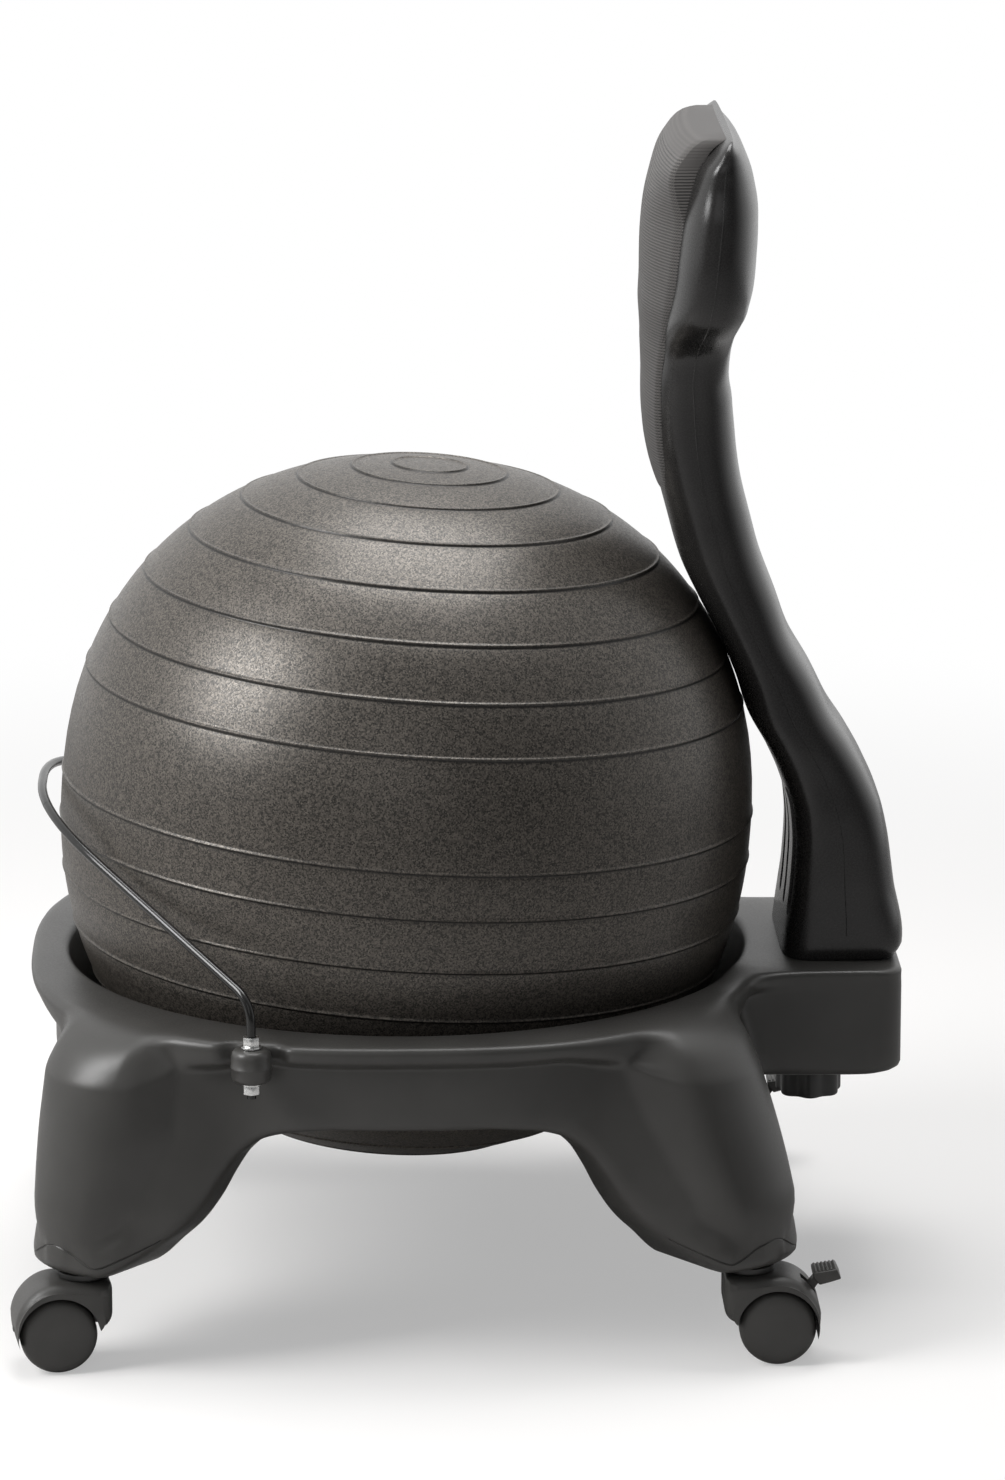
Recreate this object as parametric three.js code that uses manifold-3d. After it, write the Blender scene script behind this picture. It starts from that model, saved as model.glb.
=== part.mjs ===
// Balance ball chair: a blow-moulded ring base on four swivel casters, an inflated ball that
// sits in the ring, a wire bar that keeps the ball in, and a bolted back support with a pad.
// Millimetres, +Z up. The ball's axis is the z axis until the last lines, and z = 0 is the floor.
import * as THREE from 'three';
import { mergeVertices } from 'three/addons/utils/BufferGeometryUtils.js';
import Module from 'manifold-3d';

const wasm = await Module();
wasm.setup();

// Shared clearances
const restGap = 0.3;
const runningGap = 0.5;
const overrun = 6;

// Ball, which sits in the ring at the rim's height
const rimHeight = 224;
const ballRadius = 231;
const ballHalfHeight = 232;
const ballRise = 95;
const ballCentreHeight = rimHeight + ballRise;
const ballRoundness = 2.2;
const ballWall = 2.4;
const ballTilt = THREE.MathUtils.degToRad(4);
const ridgeHeight = 1.1;
const ridgeHalfWidth = 2.4;
const ridgeLatitudes = [-84, -76, -67, -58, -49, -40, -31, -22, -13.1, -4.3, 3.2, 21.4, 30, 39.5,
  49.3, 59, 68.6, 77.4, 84];
const plainBand = 12;
const ballSeatGap = 1.3;
const valveRadius = 6;
const plugFlangeRadius = 9;
const plugFlangeThickness = 1.6;
const plugLength = 9;

// Seat base: ring, aprons and legs
const baseWall = 4;
const baseLeastWall = 2;
const rimBallGap = 12.3;
const rimRound = 4;
const lipSideReach = 26;
const lipFrontReach = 21;
const lipHalfSide = ballRadius + lipSideReach;
const lipHalfFront = ballRadius + lipFrontReach;
const lipDrop = 6;
const lipFall = 2;
const apronReach = 16;
const apronHalf = ballRadius + apronReach;
const outlinePower = 2.6;
const apronTopDrop = 19;
const shoulderDrop = 15;
const archDepth = 60;
const archTop = rimHeight - archDepth;
const legBottom = 65;
const legTopReach = 5;
const legFlare = 12.5;
const legRearInset = 18;
const legRearFlare = 32;
const legHalfTop = ballRadius + legTopReach;
const legHalfLow = legHalfTop + legFlare;
const legRearTop = legHalfTop - legRearInset;
const legRearLow = legRearTop + legRearFlare;
const legCorner = 60;
const legFoot = 12;
const pillarEdge = THREE.MathUtils.degToRad(13.5);
const pillarEdgeSoft = THREE.MathUtils.degToRad(3);
const pillarStep = 7;
const tailBlendFrom = THREE.MathUtils.degToRad(19);
const tailBlendTo = THREE.MathUtils.degToRad(30);
const tailCornerPower = 26;
const reachPower = 50;
const apronUnderDepth = 16;
const legInnerReach = 21;
const legInnerLow = ballRadius + legInnerReach;
const legInnerTop = legInnerLow - apronUnderDepth;
const bowlDepth = 65;
const bowlLipHeight = rimHeight - bowlDepth;
const bowlLipWidth = 9;
const bowlLipRound = 1;
const bowlBow = 5;
const bowlLipThickness = 4;
const undersideHeight = bowlLipHeight - bowlLipThickness;
const backFootReach = 18;
const backFootFront = ballRadius + backFootReach;
const backFootDepth = 73;
const backHalfWidth = 70;
const tailEdgeSide = 25;
const tailEdgeRear = 5;
const tailHalfWidth = backHalfWidth + tailEdgeSide;
const tailRear = backFootFront + backFootDepth + tailEdgeRear;
const tailProud = 2.6;
const tailDepth = 73.6;
const tailTop = rimHeight + tailProud;
const tailBottom = tailTop - tailDepth;
const tailRound = 14;

// Retaining bar and the bosses that hold it
const barRadius = 3;
const barSides = 8;
const barSteps = 46;
const crownBallGap = 12;
const crownReach = ballRadius + crownBallGap;
const crownLift = 17.5;
const crownRise = ballCentreHeight + crownLift;
const crownWidthShare = 0.42;
const crownHalfWidth = ballRadius * crownWidthShare;
const crownSetback = 13.5;
const crownFall = 7.6;
const bossInset = 5;
const bossSide = lipHalfSide - bossInset;
const bossFrontShare = 0.446;
const bossFront = ballRadius * bossFrontShare;
const bossRadius = 13;
const bossPocket = 14.5;
const bossDrop = 1;
const bossTop = rimHeight - bossDrop;
const bossHeight = 22;
const barBendRise = 31;
const barBendLength = 16;
const crownBendLength = 44;
const nutAcrossFlats = 10;
const nutHeight = 6;
const nutFlangeRadius = 6.6;
const nutFlangeThickness = 1.6;
const barTipBelowNut = 3;

// Back support and its clamp
const backHeight = 551;
const backLean = 90;
const backWall = 4.5;
const backBallGap = 1.5;
const backPlugHeight = 24;
const slotWidth = 12;
const slotSpacing = 31;
const slotCount = 4;
const slotCutDepth = 18;
const slotCutBehind = 13.5;
const slotLowShare = 0.045;
const slotHighShare = 0.205;
const clampSetback = 23;
const studRadius = 4;
const insertRadius = 7.7;
const insertHeight = 16;
const knobRadius = 22.5;
const knobLobes = 7;
const knobLobeDepth = 1.8;
const knobHeight = 20;
const knobDrop = 37.5;
const knobBottom = tailBottom - knobDrop;
const knobHubRadius = 12;
const knobBevel = 2;

// Pad
const padCrown = 16;
const padBite = 14;
const padTopWidth = 80;

// Casters
const wheelRadius = 25;
const wheelSegments = 16;
const wheelWidth = 18;
const wheelFace = 22.5;
const wheelEdge = 4;
const casterTrail = 18.5;
const casterSideInset = 35.5;
const casterFrontInset = 35.5;
const casterRearInset = 32.5;
const casterSide = legHalfLow - casterSideInset;
const casterFront = legHalfLow - casterFrontInset;
const casterRear = legRearLow - casterRearInset;
const casterFrontYaw = THREE.MathUtils.degToRad(8.5);
const casterFarYaw = THREE.MathUtils.degToRad(20);
const hoodTop = 60;
const hoodWidth = 46;
const hoodGap = 1.6;
const hoodStemSide = 35;
const hoodTip = 28;
const webWidth = 6;
const webHubRadius = 8;
const axleRadius = 2.5;
const stemRadius = 4;
const stemHeight = 50;
const stemSink = 10;
const socketRadius = 5.5;
const socketHeight = 38;
const collarRadius = 17;
const collarHeight = legBottom - hoodTop - 2 * restGap;
const leverPivotRadius = 29.4;
const leverPivotAngle = THREE.MathUtils.degToRad(46);
const leverHubRadius = 2.9;
const leverPinRadius = 1.2;
const leverWidth = 8;
const paddleWidth = 20;
const leverSlotReach = 14;
const leverLength = 21;
const leverRise = 41;
const wheelFaceStep = 0.5;
const boreEndGap = 1;

// Shares of named sizes: each row is a station of an outline
const archStationShares = [0, 0.22, 0.38, 0.5, 0.58, 0.65, 0.71, 0.77, 0.83, 0.92];
const tailStationShares = [0, 0.15, 0.29, 0.36, 0.42, 0.48, 0.54, 0.61, 0.7, 0.77, 0.83, 0.92];
const archDropShares = [[0.27, 0], [0.4, 0.03], [0.5, 0.08], [0.575, 0.19], [0.63, 0.36], [0.67, 0.52],
  [0.73, 0.7], [0.79, 0.82], [0.85, 0.94], [0.89, 1]];
const archRearLeadShare = 0.01;
const wallFallShares = [0, 0.22, 0.48, 0.74, 1];
const legFlareShare = 0.75;
const legInsideShares = [0.5, 0.85];
const legBlendShares = [0.3, 0.75];
const pillarFadeShares = [0.75, 1];
// fall down the wall, then the pillar's half width as a share of its edge
const pillarWidthShares = [[0, 1], [0.3, 0.93], [0.5, 0.86], [0.7, 0.75], [0.8, 0.65], [0.9, 0.3], [0.95, 0]];
const shoulderShares = [0.75, 0.95];
const footCutShare = 0.3;
const lipBandShare = 0.62;
const apronTuckShare = 0.25;
const innerFootShare = 0.14;
const innerTopShare = 0.84;
const bowlRadiusShares = [0.36, 0.72];
const bowlHeightShares = [0.33, 0.66];
// height, set forward, depth, half width, roundness of the section
const backStationShares = [
  [0, 0, 1.05, 1, 6], [0.013, -0.01, 1.1, 1.02, 6], [0.085, -0.06, 0.96, 1.02, 5],
  [0.134, -0.074, 0.895, 1.01, 4.6],
  [0.173, -0.055, 0.86, 1, 4.2], [0.215, 0.019, 0.82, 0.98, 4], [0.253, 0.122, 0.79, 0.97, 3.8],
  [0.2925, 0.256, 0.765, 0.95, 3.6], [0.332, 0.334, 0.715, 0.93, 3.4], [0.382, 0.464, 0.66, 0.91, 3.2],
  [0.4315, 0.62, 0.715, 0.89, 3.2], [0.48, 0.757, 0.745, 0.88, 3.2], [0.53, 0.845, 0.748, 0.88, 3.2],
  [0.58, 0.922, 0.75, 0.89, 3.2], [0.634, 0.978, 0.765, 0.91, 3.2], [0.672, 0.991, 0.755, 0.93, 3.2],
  [0.706, 0.986, 0.715, 0.96, 3.2], [0.735, 0.967, 0.71, 1, 3.1], [0.752, 0.952, 0.72, 1.1, 3],
  [0.768, 0.942, 0.755, 1.3, 2.9], [0.787, 0.934, 0.81, 1.44, 2.8], [0.818, 0.905, 0.825, 1.5, 2.8],
  [0.863, 0.872, 0.81, 1.53, 2.8], [0.9055, 0.831, 0.765, 1.53, 2.8], [0.948, 0.762, 0.64, 1.49, 2.8],
  [0.968, 0.7, 0.53, 1.5, 2.9], [0.982, 0.62, 0.4, 1.47, 2.9], [0.993, 0.54, 0.24, 1.42, 3],
  [1, 0.47, 0.08, 1.32, 3]];
const backHollowTopShare = 0.985;
// height in the back support, crown forward of the support, half width as a share of padTopWidth
const padStationShares = [
  [0.56, 0, 0.42], [0.568, 0.1, 0.54], [0.6, 0.22, 0.63], [0.64, 0.25, 0.67], [0.7, 0.24, 0.7],
  [0.745, 0.42, 0.74],
  [0.775, 0.72, 0.86], [0.8, 0.85, 0.95], [0.84, 0.95, 1], [0.88, 1.05, 1], [0.92, 1.1, 1],
  [0.95, 1, 0.995], [0.97, 0.84, 0.99], [0.985, 0.86, 0.97], [0.994, 0.8, 0.95], [0.999, 0.45, 0.92]];
const padFallPower = 2.4;
const padEdgeShare = 0.2;
const padFlatFromShares = [0.89, 0.965];
const padFlatShare = 0.75;
const padTopFromShares = [0.965, 0.999];
const padTopBiteShare = 0.2;
const padBackShares = [1, 0.5, 0, -0.5, -1];
const hoodStemLowShares = [0.1, 0.17, 0.45, 0.94];
const hoodTipShares = [0.53, 0.95, 0.63, 0.26, 0.93, 0.175];
const webEndShare = 0.96;
const wheelDishShares = [0.66, 0.6, 0.4];
const leverSlotTurns = [-0.3, 2];
// forward and height of the lever's corners, as shares of its length and of its rise over the axle
const paddleShares = [[0.14, 0.75], [0.33, 0.64], [1, 0.74], [0.86, 0.9], [0.11, 0.84]];
const armShares = [[0.38, 0.68], [0.24, 0.78]];
const leverHubTurns = [0.8, 1.9];

const chair = new THREE.Group();
const materials = {
  base: plainMaterial(0x4a4947, 0.5, 0),
  back: plainMaterial(0x454442, 0.45, 0),
  ball: plainMaterial(0x55504c, 0.4, 0.1),
  pad: plainMaterial(0x6a6764, 0.9, 0),
  bar: plainMaterial(0x1d1d1d, 0.25, 0.2),
  zinc: plainMaterial(0xc8c8c8, 0.3, 0.9),
  steel: plainMaterial(0x9a9a9a, 0.35, 0.9),
  nylon: plainMaterial(0x474745, 0.5, 0),
  knob: plainMaterial(0x2e2e2e, 0.5, 0),
};

function plainMaterial(color, roughness, metalness) {
  return new THREE.MeshStandardMaterial({ color, roughness, metalness });
}

function add(name, geometry, material, parent = chair) {
  const mesh = new THREE.Mesh(geometry, material);
  mesh.name = name;
  parent.add(mesh);
  return mesh;
}

// Small mathematics
function between(from, to, share) {
  return from + (to - from) * share;
}

function easedShare(value, low, high) {
  return THREE.MathUtils.smoothstep(value, low, high);
}

function shareAt(tableShares, at, column = 1) {
  const last = tableShares.length - 1;
  if (at <= tableShares[0][0]) return tableShares[0][column];
  for (let row = 0; row < last; row += 1) {
    const [low, high] = [tableShares[row], tableShares[row + 1]];
    if (at <= high[0]) return between(low[column], high[column], (at - low[0]) / (high[0] - low[0]));
  }
  return tableShares[last][column];
}

// Closed bodies from rings of points
function signedVolume(points, faces) {
  let volume = 0;
  for (const [a, b, c] of faces) {
    volume += points[a].dot(points[b].clone().cross(points[c]));
  }
  return volume;
}

function bodyFromFaces(points, faces) {
  const outward = signedVolume(points, faces) > 0;
  const geometry = new THREE.BufferGeometry();
  geometry.setAttribute('position', new THREE.Float32BufferAttribute(points.flatMap((p) => p.toArray()), 3));
  geometry.setIndex(faces.flatMap(([a, b, c]) => (outward ? [a, b, c] : [a, c, b])));
  geometry.computeVertexNormals();
  return geometry;
}

function ringBody(rings, joinsItself) {
  const count = rings[0].length;
  const points = rings.flat();
  const faces = [];
  const spans = joinsItself ? rings.length : rings.length - 1;
  for (let ring = 0; ring < spans; ring += 1) {
    const next = (ring + 1) % rings.length;
    for (let step = 0; step < count; step += 1) {
      const after = (step + 1) % count;
      const [a, b] = [ring * count + step, ring * count + after];
      const [c, d] = [next * count + after, next * count + step];
      faces.push([a, b, c], [a, c, d]);
    }
  }
  if (!joinsItself) {
    capRing(points, faces, 0, count, false);
    capRing(points, faces, (rings.length - 1) * count, count, true);
  }
  return bodyFromFaces(points, faces);
}

function capRing(points, faces, start, count, last) {
  const middle = new THREE.Vector3();
  for (let step = 0; step < count; step += 1) middle.addScaledVector(points[start + step], 1 / count);
  const centre = points.push(middle) - 1;
  for (let step = 0; step < count; step += 1) {
    const [a, b] = [start + step, start + (step + 1) % count];
    faces.push(last ? [centre, a, b] : [centre, b, a]);
  }
}

// Joining and cutting
function solid(geometry) {
  const bare = geometry.clone();
  bare.deleteAttribute('normal');
  bare.deleteAttribute('uv');
  const merged = mergeVertices(bare, 1e-4);
  const mesh = new wasm.Mesh({
    numProp: 3,
    vertProperties: new Float32Array(merged.attributes.position.array),
    triVerts: new Uint32Array(merged.index.array),
  });
  return new wasm.Manifold(mesh);
}

// Crumbs left by a cut are dropped
function largestOf(manifold) {
  return manifold.decompose().sort((a, b) => b.volume() - a.volume())[0];
}

function geometryOf(manifold) {
  const mesh = manifold.getMesh();
  const geometry = new THREE.BufferGeometry();
  geometry.setAttribute('position', new THREE.Float32BufferAttribute(mesh.vertProperties, 3));
  geometry.setIndex(Array.from(mesh.triVerts));
  geometry.computeVertexNormals();
  return geometry;
}

// Upright cylinder between two heights
function post(radius, low, high, x = 0, y = 0, segments = 24) {
  const geometry = new THREE.CylinderGeometry(radius, radius, high - low, segments);
  geometry.rotateX(Math.PI / 2);
  geometry.translate(x, y, (low + high) / 2);
  return geometry;
}

// Outline drawn in (y, z), made solid across x
function sideExtrusion(shape, width, curveSegments = 10) {
  const geometry = new THREE.ExtrudeGeometry(shape, { depth: width, bevelEnabled: false, curveSegments });
  geometry.translate(0, 0, -width / 2);
  const [x, y, z] = [new THREE.Vector3(1, 0, 0), new THREE.Vector3(0, 1, 0), new THREE.Vector3(0, 0, 1)];
  return geometry.applyMatrix4(new THREE.Matrix4().makeBasis(y, z, x));
}

// Ball
function ballProfileRadius(height, radius = ballRadius, half = ballHalfHeight) {
  const rise = Math.min(1, Math.abs(height) / half);
  return radius * (1 - rise ** ballRoundness) ** (1 / ballRoundness);
}

function ballPoint(latitude, proud) {
  const angle = THREE.MathUtils.degToRad(latitude);
  const [across, up] = [Math.cos(angle), Math.sin(angle)];
  const reach = ((across / ballRadius) ** ballRoundness
    + (Math.abs(up) / ballHalfHeight) ** ballRoundness) ** (-1 / ballRoundness) + proud;
  return new THREE.Vector2(Math.max(0, across * reach), up * reach);
}

function ballSkin(segments) {
  const halfAngle = THREE.MathUtils.radToDeg(ridgeHalfWidth / ballRadius);
  const pole = 90;
  const outline = [new THREE.Vector2(0, -ballHalfHeight)];
  for (const [index, latitude] of ridgeLatitudes.entries()) {
    outline.push(ballPoint(latitude - halfAngle, 0));
    outline.push(ballPoint(latitude, ridgeHeight));
    outline.push(ballPoint(latitude + halfAngle, 0));
    const next = ridgeLatitudes[index + 1];
    if (next - latitude > plainBand) outline.push(ballPoint((latitude + next) / 2, 0));
  }
  outline.push(new THREE.Vector2(0, ballPoint(pole, 0).y));
  return new THREE.LatheGeometry(outline, segments);
}

function ballInside(segments) {
  const rows = 10;
  const outline = [];
  for (let row = 0; row <= rows; row += 1) {
    outline.push(ballPoint(between(-90, 90, row / rows), -ballWall));
  }
  outline[0].x = 0;
  outline[rows].x = 0;
  return new THREE.LatheGeometry(outline, segments);
}

function buildBall() {
  const segments = 28;
  const insideSegments = 16;
  const hole = new THREE.CylinderGeometry(valveRadius, valveRadius, 2 * plugLength, 12);
  hole.translate(0, -ballHalfHeight, 0);
  const shell = solid(ballSkin(segments)).subtract(solid(ballInside(insideSegments))).subtract(solid(hole));
  const seated = new THREE.Group();
  seated.position.z = ballCentreHeight;
  seated.rotation.x = Math.PI / 2 - ballTilt;
  chair.add(seated);
  add('ball', geometryOf(shell), materials.ball, seated);
  add('ball_plug', ballPlug(), materials.knob, seated);
}

function ballPlug() {
  const flangeTop = -ballHalfHeight - restGap;
  const shank = valveRadius - restGap;
  const outline = [
    new THREE.Vector2(0, flangeTop - plugFlangeThickness),
    new THREE.Vector2(plugFlangeRadius, flangeTop - plugFlangeThickness),
    new THREE.Vector2(plugFlangeRadius, flangeTop),
    new THREE.Vector2(shank, flangeTop),
    new THREE.Vector2(shank, flangeTop + plugLength),
    new THREE.Vector2(0, flangeTop + plugLength)];
  return new THREE.LatheGeometry(outline, 16);
}

// Seat base: every upright half plane through the ball's axis cuts it in one closed loop
function outlineRadius(angle, halfSide, halfFront, power) {
  const across = Math.abs(Math.cos(angle)) / halfSide;
  const along = Math.abs(Math.sin(angle)) / halfFront;
  return (across ** power + along ** power) ** (-1 / power);
}

function roundedSquareRadius(angle, half, corner) {
  const [across, along] = [Math.abs(Math.cos(angle)), Math.abs(Math.sin(angle))];
  const flat = half / Math.max(across, along);
  const core = half - corner;
  if (Math.min(across, along) * flat <= core) return flat;
  const toCore = core * (across + along);
  return toCore + Math.sqrt(toCore ** 2 - (2 * core ** 2 - corner ** 2));
}

function quarterShare(angle) {
  const quarter = Math.PI / 2;
  const turned = ((angle % quarter) + quarter) % quarter;
  return 1 - Math.abs(turned / (quarter / 2) - 1);
}

function tailShare(angle) {
  return 1 - easedShare(Math.abs(angle - Math.PI / 2), tailBlendFrom, tailBlendTo);
}

function tailRadius(angle) {
  const [across, along] = [Math.abs(Math.cos(angle)), Math.sin(angle)];
  if (along <= 0) return 0;
  const reach = (along / tailRear) ** tailCornerPower + (across / tailHalfWidth) ** tailCornerPower;
  return reach ** (-1 / tailCornerPower);
}

function reachOf(first, second) {
  return (first ** reachPower + second ** reachPower) ** (1 / reachPower);
}

// 1 on the leg's raised pillar, 0 beside it; the pillar narrows towards the foot
function pillarShare(angle, fall) {
  const fromLeg = (1 - quarterShare(angle)) * Math.PI / 4;
  const edge = pillarEdge * shareAt(pillarWidthShares, fall);
  return 1 - easedShare(fromLeg, edge - pillarEdgeSoft, edge);
}

// The rear half of the outline is drawn in: the angle to read it at, and the stretch of the radius
function drawnIn(angle, ratio) {
  if (Math.sin(angle) <= 0) return [angle, 1];
  const turned = Math.atan2(Math.sin(angle) / ratio, Math.cos(angle));
  return [turned, Math.hypot(Math.cos(turned), ratio * Math.sin(turned))];
}

function wallRadius(angle, fall) {
  const flare = Math.min(1, fall / legFlareShare);
  const half = between(legHalfTop, legHalfLow, flare);
  const [turned, stretch] = drawnIn(angle, between(legRearTop, legRearLow, flare) / half);
  const apron = outlineRadius(turned, apronHalf, apronHalf, outlinePower);
  const step = pillarStep * (1 - pillarShare(angle, fall)) * (1 - easedShare(fall, ...pillarFadeShares));
  const leg = roundedSquareRadius(turned, half, legCorner) - step;
  const legBlend = easedShare(quarterShare(angle), ...legBlendShares);
  return reachOf(between(apron, leg, legBlend) * stretch, tailRadius(angle));
}

// The least radius within a spread of angles
function narrowest(radiusAt, angle, spread) {
  const samples = spread > 0 ? 6 : 1;
  let least = radiusAt(angle);
  for (let step = -samples; step <= samples; step += 1) {
    least = Math.min(least, radiusAt(angle + spread * step / samples));
  }
  return least;
}

// 0 at the apron's top, 1 at the top of the foot's rounding
function fallAt(height) {
  const apronTop = rimHeight - apronTopDrop;
  return THREE.MathUtils.clamp((apronTop - height) / (apronTop - legBottom - legFoot), 0, 1);
}

function lipRadius(angle) {
  const [turned, stretch] = drawnIn(angle, legRearTop / legHalfTop);
  return reachOf(outlineRadius(turned, lipHalfSide, lipHalfFront, outlinePower) * stretch, tailRadius(angle));
}

function baseBottom(angle) {
  const lead = archRearLeadShare * Math.max(0, Math.sin(angle));
  const drop = shareAt(archDropShares, quarterShare(angle) + lead);
  return between(between(archTop, legBottom, drop), tailBottom, tailShare(angle));
}

// Loop of (radius, height) points; skin is how far inside the surface it runs, and spread is
// the range of angles on both sides that it has to stay inside
function baseLoop(angle, skin = 0, spread = 0) {
  const bottomHeight = -narrowest((at) => -baseBottom(at), angle, spread);
  const tail = tailShare(angle);
  const leg = pillarShare(angle, 0) * (1 - tail);
  const legInside = easedShare(quarterShare(angle), ...legInsideShares);
  const inward = drawnIn(angle, legRearTop / legHalfTop)[1];
  const top = between(rimHeight, tailTop, tail);
  const lip = narrowest(lipRadius, angle, spread);
  const lipHeight = between(top - lipDrop, tailTop - tailRound / 2, tail);
  const apronTop = top - apronTopDrop - leg * shoulderDrop;
  const footTop = bottomHeight + legFoot;
  const foot = between(legFoot / 2, legFoot, leg) + tail * (tailRound - legFoot / 2);
  const innerLow = between(apronHalf - apronUnderDepth, legInnerLow, legInside) * inward;
  const innerTop = between(apronHalf - 2 * apronUnderDepth, legInnerTop, legInside) * inward;
  const lipEdge = ballProfileRadius(bowlLipHeight - ballCentreHeight) + ballSeatGap;
  const rimRadius = ballProfileRadius(rimHeight - ballCentreHeight) + rimBallGap;
  const wall = wallFallShares.map((share) => {
    const height = between(apronTop, footTop, share);
    return [narrowest((at) => wallRadius(at, fallAt(height)), angle, spread), height, -1, 0];
  });
  const [wallTop, wallFoot] = [wall[0][0], wall[wall.length - 1][0]];
  wall[wall.length - 1][3] = footCutShare;
  const bowl = bowlRadiusShares.map((share, row) => [
    between(lipEdge, rimRadius, share) + bowlBow, between(bowlLipHeight, top, bowlHeightShares[row]), 1, 0]);
  const points = [
    [rimRadius, top - rimRound, 1, 0],
    [rimRadius + rimRound, top, 1.6, -1],
    [between(rimRadius, lip, lipBandShare), between(top - lipFall / 2, tailTop, tail), 0, -1],
    [lip - lipDrop, between(top - lipFall, tailTop, tail), -1, -1],
    [between(lip, wallTop, leg * shoulderShares[0]), lipHeight - leg * lipDrop, -1, -0.6],
    [between(lip, wallTop, between(apronTuckShare, shoulderShares[1], leg)), apronTop + lipDrop, -1, 0],
    ...wall,
    [wallFoot - foot * footCutShare, bottomHeight + foot * footCutShare, -1, 1],
    [wallFoot - foot, bottomHeight, -1, 1],
    [innerLow + foot, bottomHeight, 1, 1],
    [innerLow, between(bottomHeight, undersideHeight, innerFootShare), 1, 1],
    [innerTop, between(bottomHeight, undersideHeight, innerTopShare), 1, 1.2],
    [innerTop - apronUnderDepth, undersideHeight, 0.6, 1],
    [lipEdge + bowlLipWidth, undersideHeight - bowlLipRound, 0.6, 1],
    [lipEdge + bowlLipRound, undersideHeight, 2, 1],
    [lipEdge, bowlLipHeight, 1.7, 0.4],
    ...bowl];
  return points.map(([radius, height, out, up]) => (
    new THREE.Vector2(radius + out * skin, height + up * skin)));
}

function baseStations() {
  const eighth = Math.PI / 4;
  const angles = [];
  for (let octant = 0; octant < 8; octant += 1) {
    const byTail = octant === 1 || octant === 2;
    const shares = byTail ? tailStationShares : archStationShares;
    const fromAxis = octant % 2 === 0;
    for (const share of shares) {
      angles.push((octant + (fromAxis ? share : 1 - share)) * eighth);
    }
    if (fromAxis) angles.push((octant + 1) * eighth);
  }
  return [...new Set(angles.map((angle) => angle % (2 * Math.PI)))].sort((a, b) => a - b);
}

function baseRing(angle, loop) {
  return loop.map((point) => new THREE.Vector3(
    point.x * Math.cos(angle), point.x * Math.sin(angle), point.y));
}

function baseSkin(skin) {
  return ringBody(baseStations().map((angle) => baseRing(angle, baseLoop(angle, skin))), true);
}

// The hollow follows these points of the outside's loop, at every other station
const hollowPoints = [1, 2, 4, 6, 8, 10, 12, 13, 15, 16, 19, 20];

function baseHollow() {
  const angles = baseStations().filter((angle, index) => index % 2 === 0);
  const rings = angles.map((angle, index) => {
    const before = index > 0 ? angle - angles[index - 1] : 2 * Math.PI + angle - angles[angles.length - 1];
    const after = index < angles.length - 1 ? angles[index + 1] - angle : 2 * Math.PI + angles[0] - angle;
    const loop = baseLoop(angle, baseWall, Math.max(before, after));
    return baseRing(angle, loop.filter((point, row) => hollowPoints.includes(row)));
  });
  return ringBody(rings, true);
}

function casterPlaces() {
  return [
    ['front_left', casterSide, -casterFront, Math.PI + casterFrontYaw, false],
    ['front_right', -casterSide, -casterFront, casterFarYaw, false],
    ['rear_left', casterSide, casterRear, 0, true],
    ['rear_right', -casterSide, casterRear, 0, true]];
}

function buildBase() {
  const clampY = backFootFront + clampSetback;
  let body = solid(baseSkin(0));
  for (const side of [-1, 1]) {
    const pocket = post(bossPocket, bossTop, rimHeight + overrun, side * bossSide, -bossFront, 20);
    body = body.subtract(solid(pocket));
  }
  for (const side of [-1, 1]) {
    body = body.add(solid(post(bossRadius, bossTop - bossHeight, bossTop, side * bossSide, -bossFront, 20)));
  }
  body = body.subtract(largestOf(solid(baseHollow()).intersect(solid(baseSkin(baseLeastWall)))));
  for (const side of [-1, 1]) {
    const bore = post(barRadius + restGap, bossTop - bossHeight - overrun, bossTop + overrun,
      side * bossSide, -bossFront, 12);
    body = body.subtract(solid(bore));
  }
  for (const [, x, y] of casterPlaces()) {
    const socketTop = legBottom + socketHeight + restGap;
    const socketBore = post(socketRadius + restGap, legBottom - overrun, socketTop, x, y, 16);
    body = body.subtract(solid(socketBore));
  }
  const clampBore = post(studRadius + runningGap, tailBottom - overrun, tailTop + overrun, 0, clampY, 16);
  body = body.subtract(solid(clampBore));
  add('seat_base', geometryOf(body), materials.base);
}

// Retaining bar
function bentPath(corners, bends) {
  const path = new THREE.CurvePath();
  let from = corners[0];
  for (let index = 1; index < corners.length - 1; index += 1) {
    const corner = corners[index];
    const back = corner.clone().add(corners[index - 1].clone().sub(corner).setLength(bends[index - 1]));
    const ahead = corner.clone().add(corners[index + 1].clone().sub(corner).setLength(bends[index - 1]));
    path.add(new THREE.LineCurve3(from, back));
    path.add(new THREE.QuadraticBezierCurve3(back, corner, ahead));
    from = ahead;
  }
  path.add(new THREE.LineCurve3(from, corners[corners.length - 1]));
  return path;
}

function barPath() {
  const tip = bossTop - bossHeight - restGap - nutHeight - nutFlangeThickness - barTipBelowNut;
  const half = [
    new THREE.Vector3(bossSide, -bossFront, tip),
    new THREE.Vector3(bossSide, -bossFront, bossTop + barBendRise),
    new THREE.Vector3(crownHalfWidth, -crownReach + crownSetback, crownRise - crownFall),
    new THREE.Vector3(crownHalfWidth / 3, -crownReach, crownRise)];
  const other = half.map((corner) => new THREE.Vector3(-corner.x, corner.y, corner.z)).reverse();
  const bends = [barBendLength, crownBendLength, crownHalfWidth / 4];
  return bentPath([...half, ...other], [...bends, ...[...bends].reverse()]);
}

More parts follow.
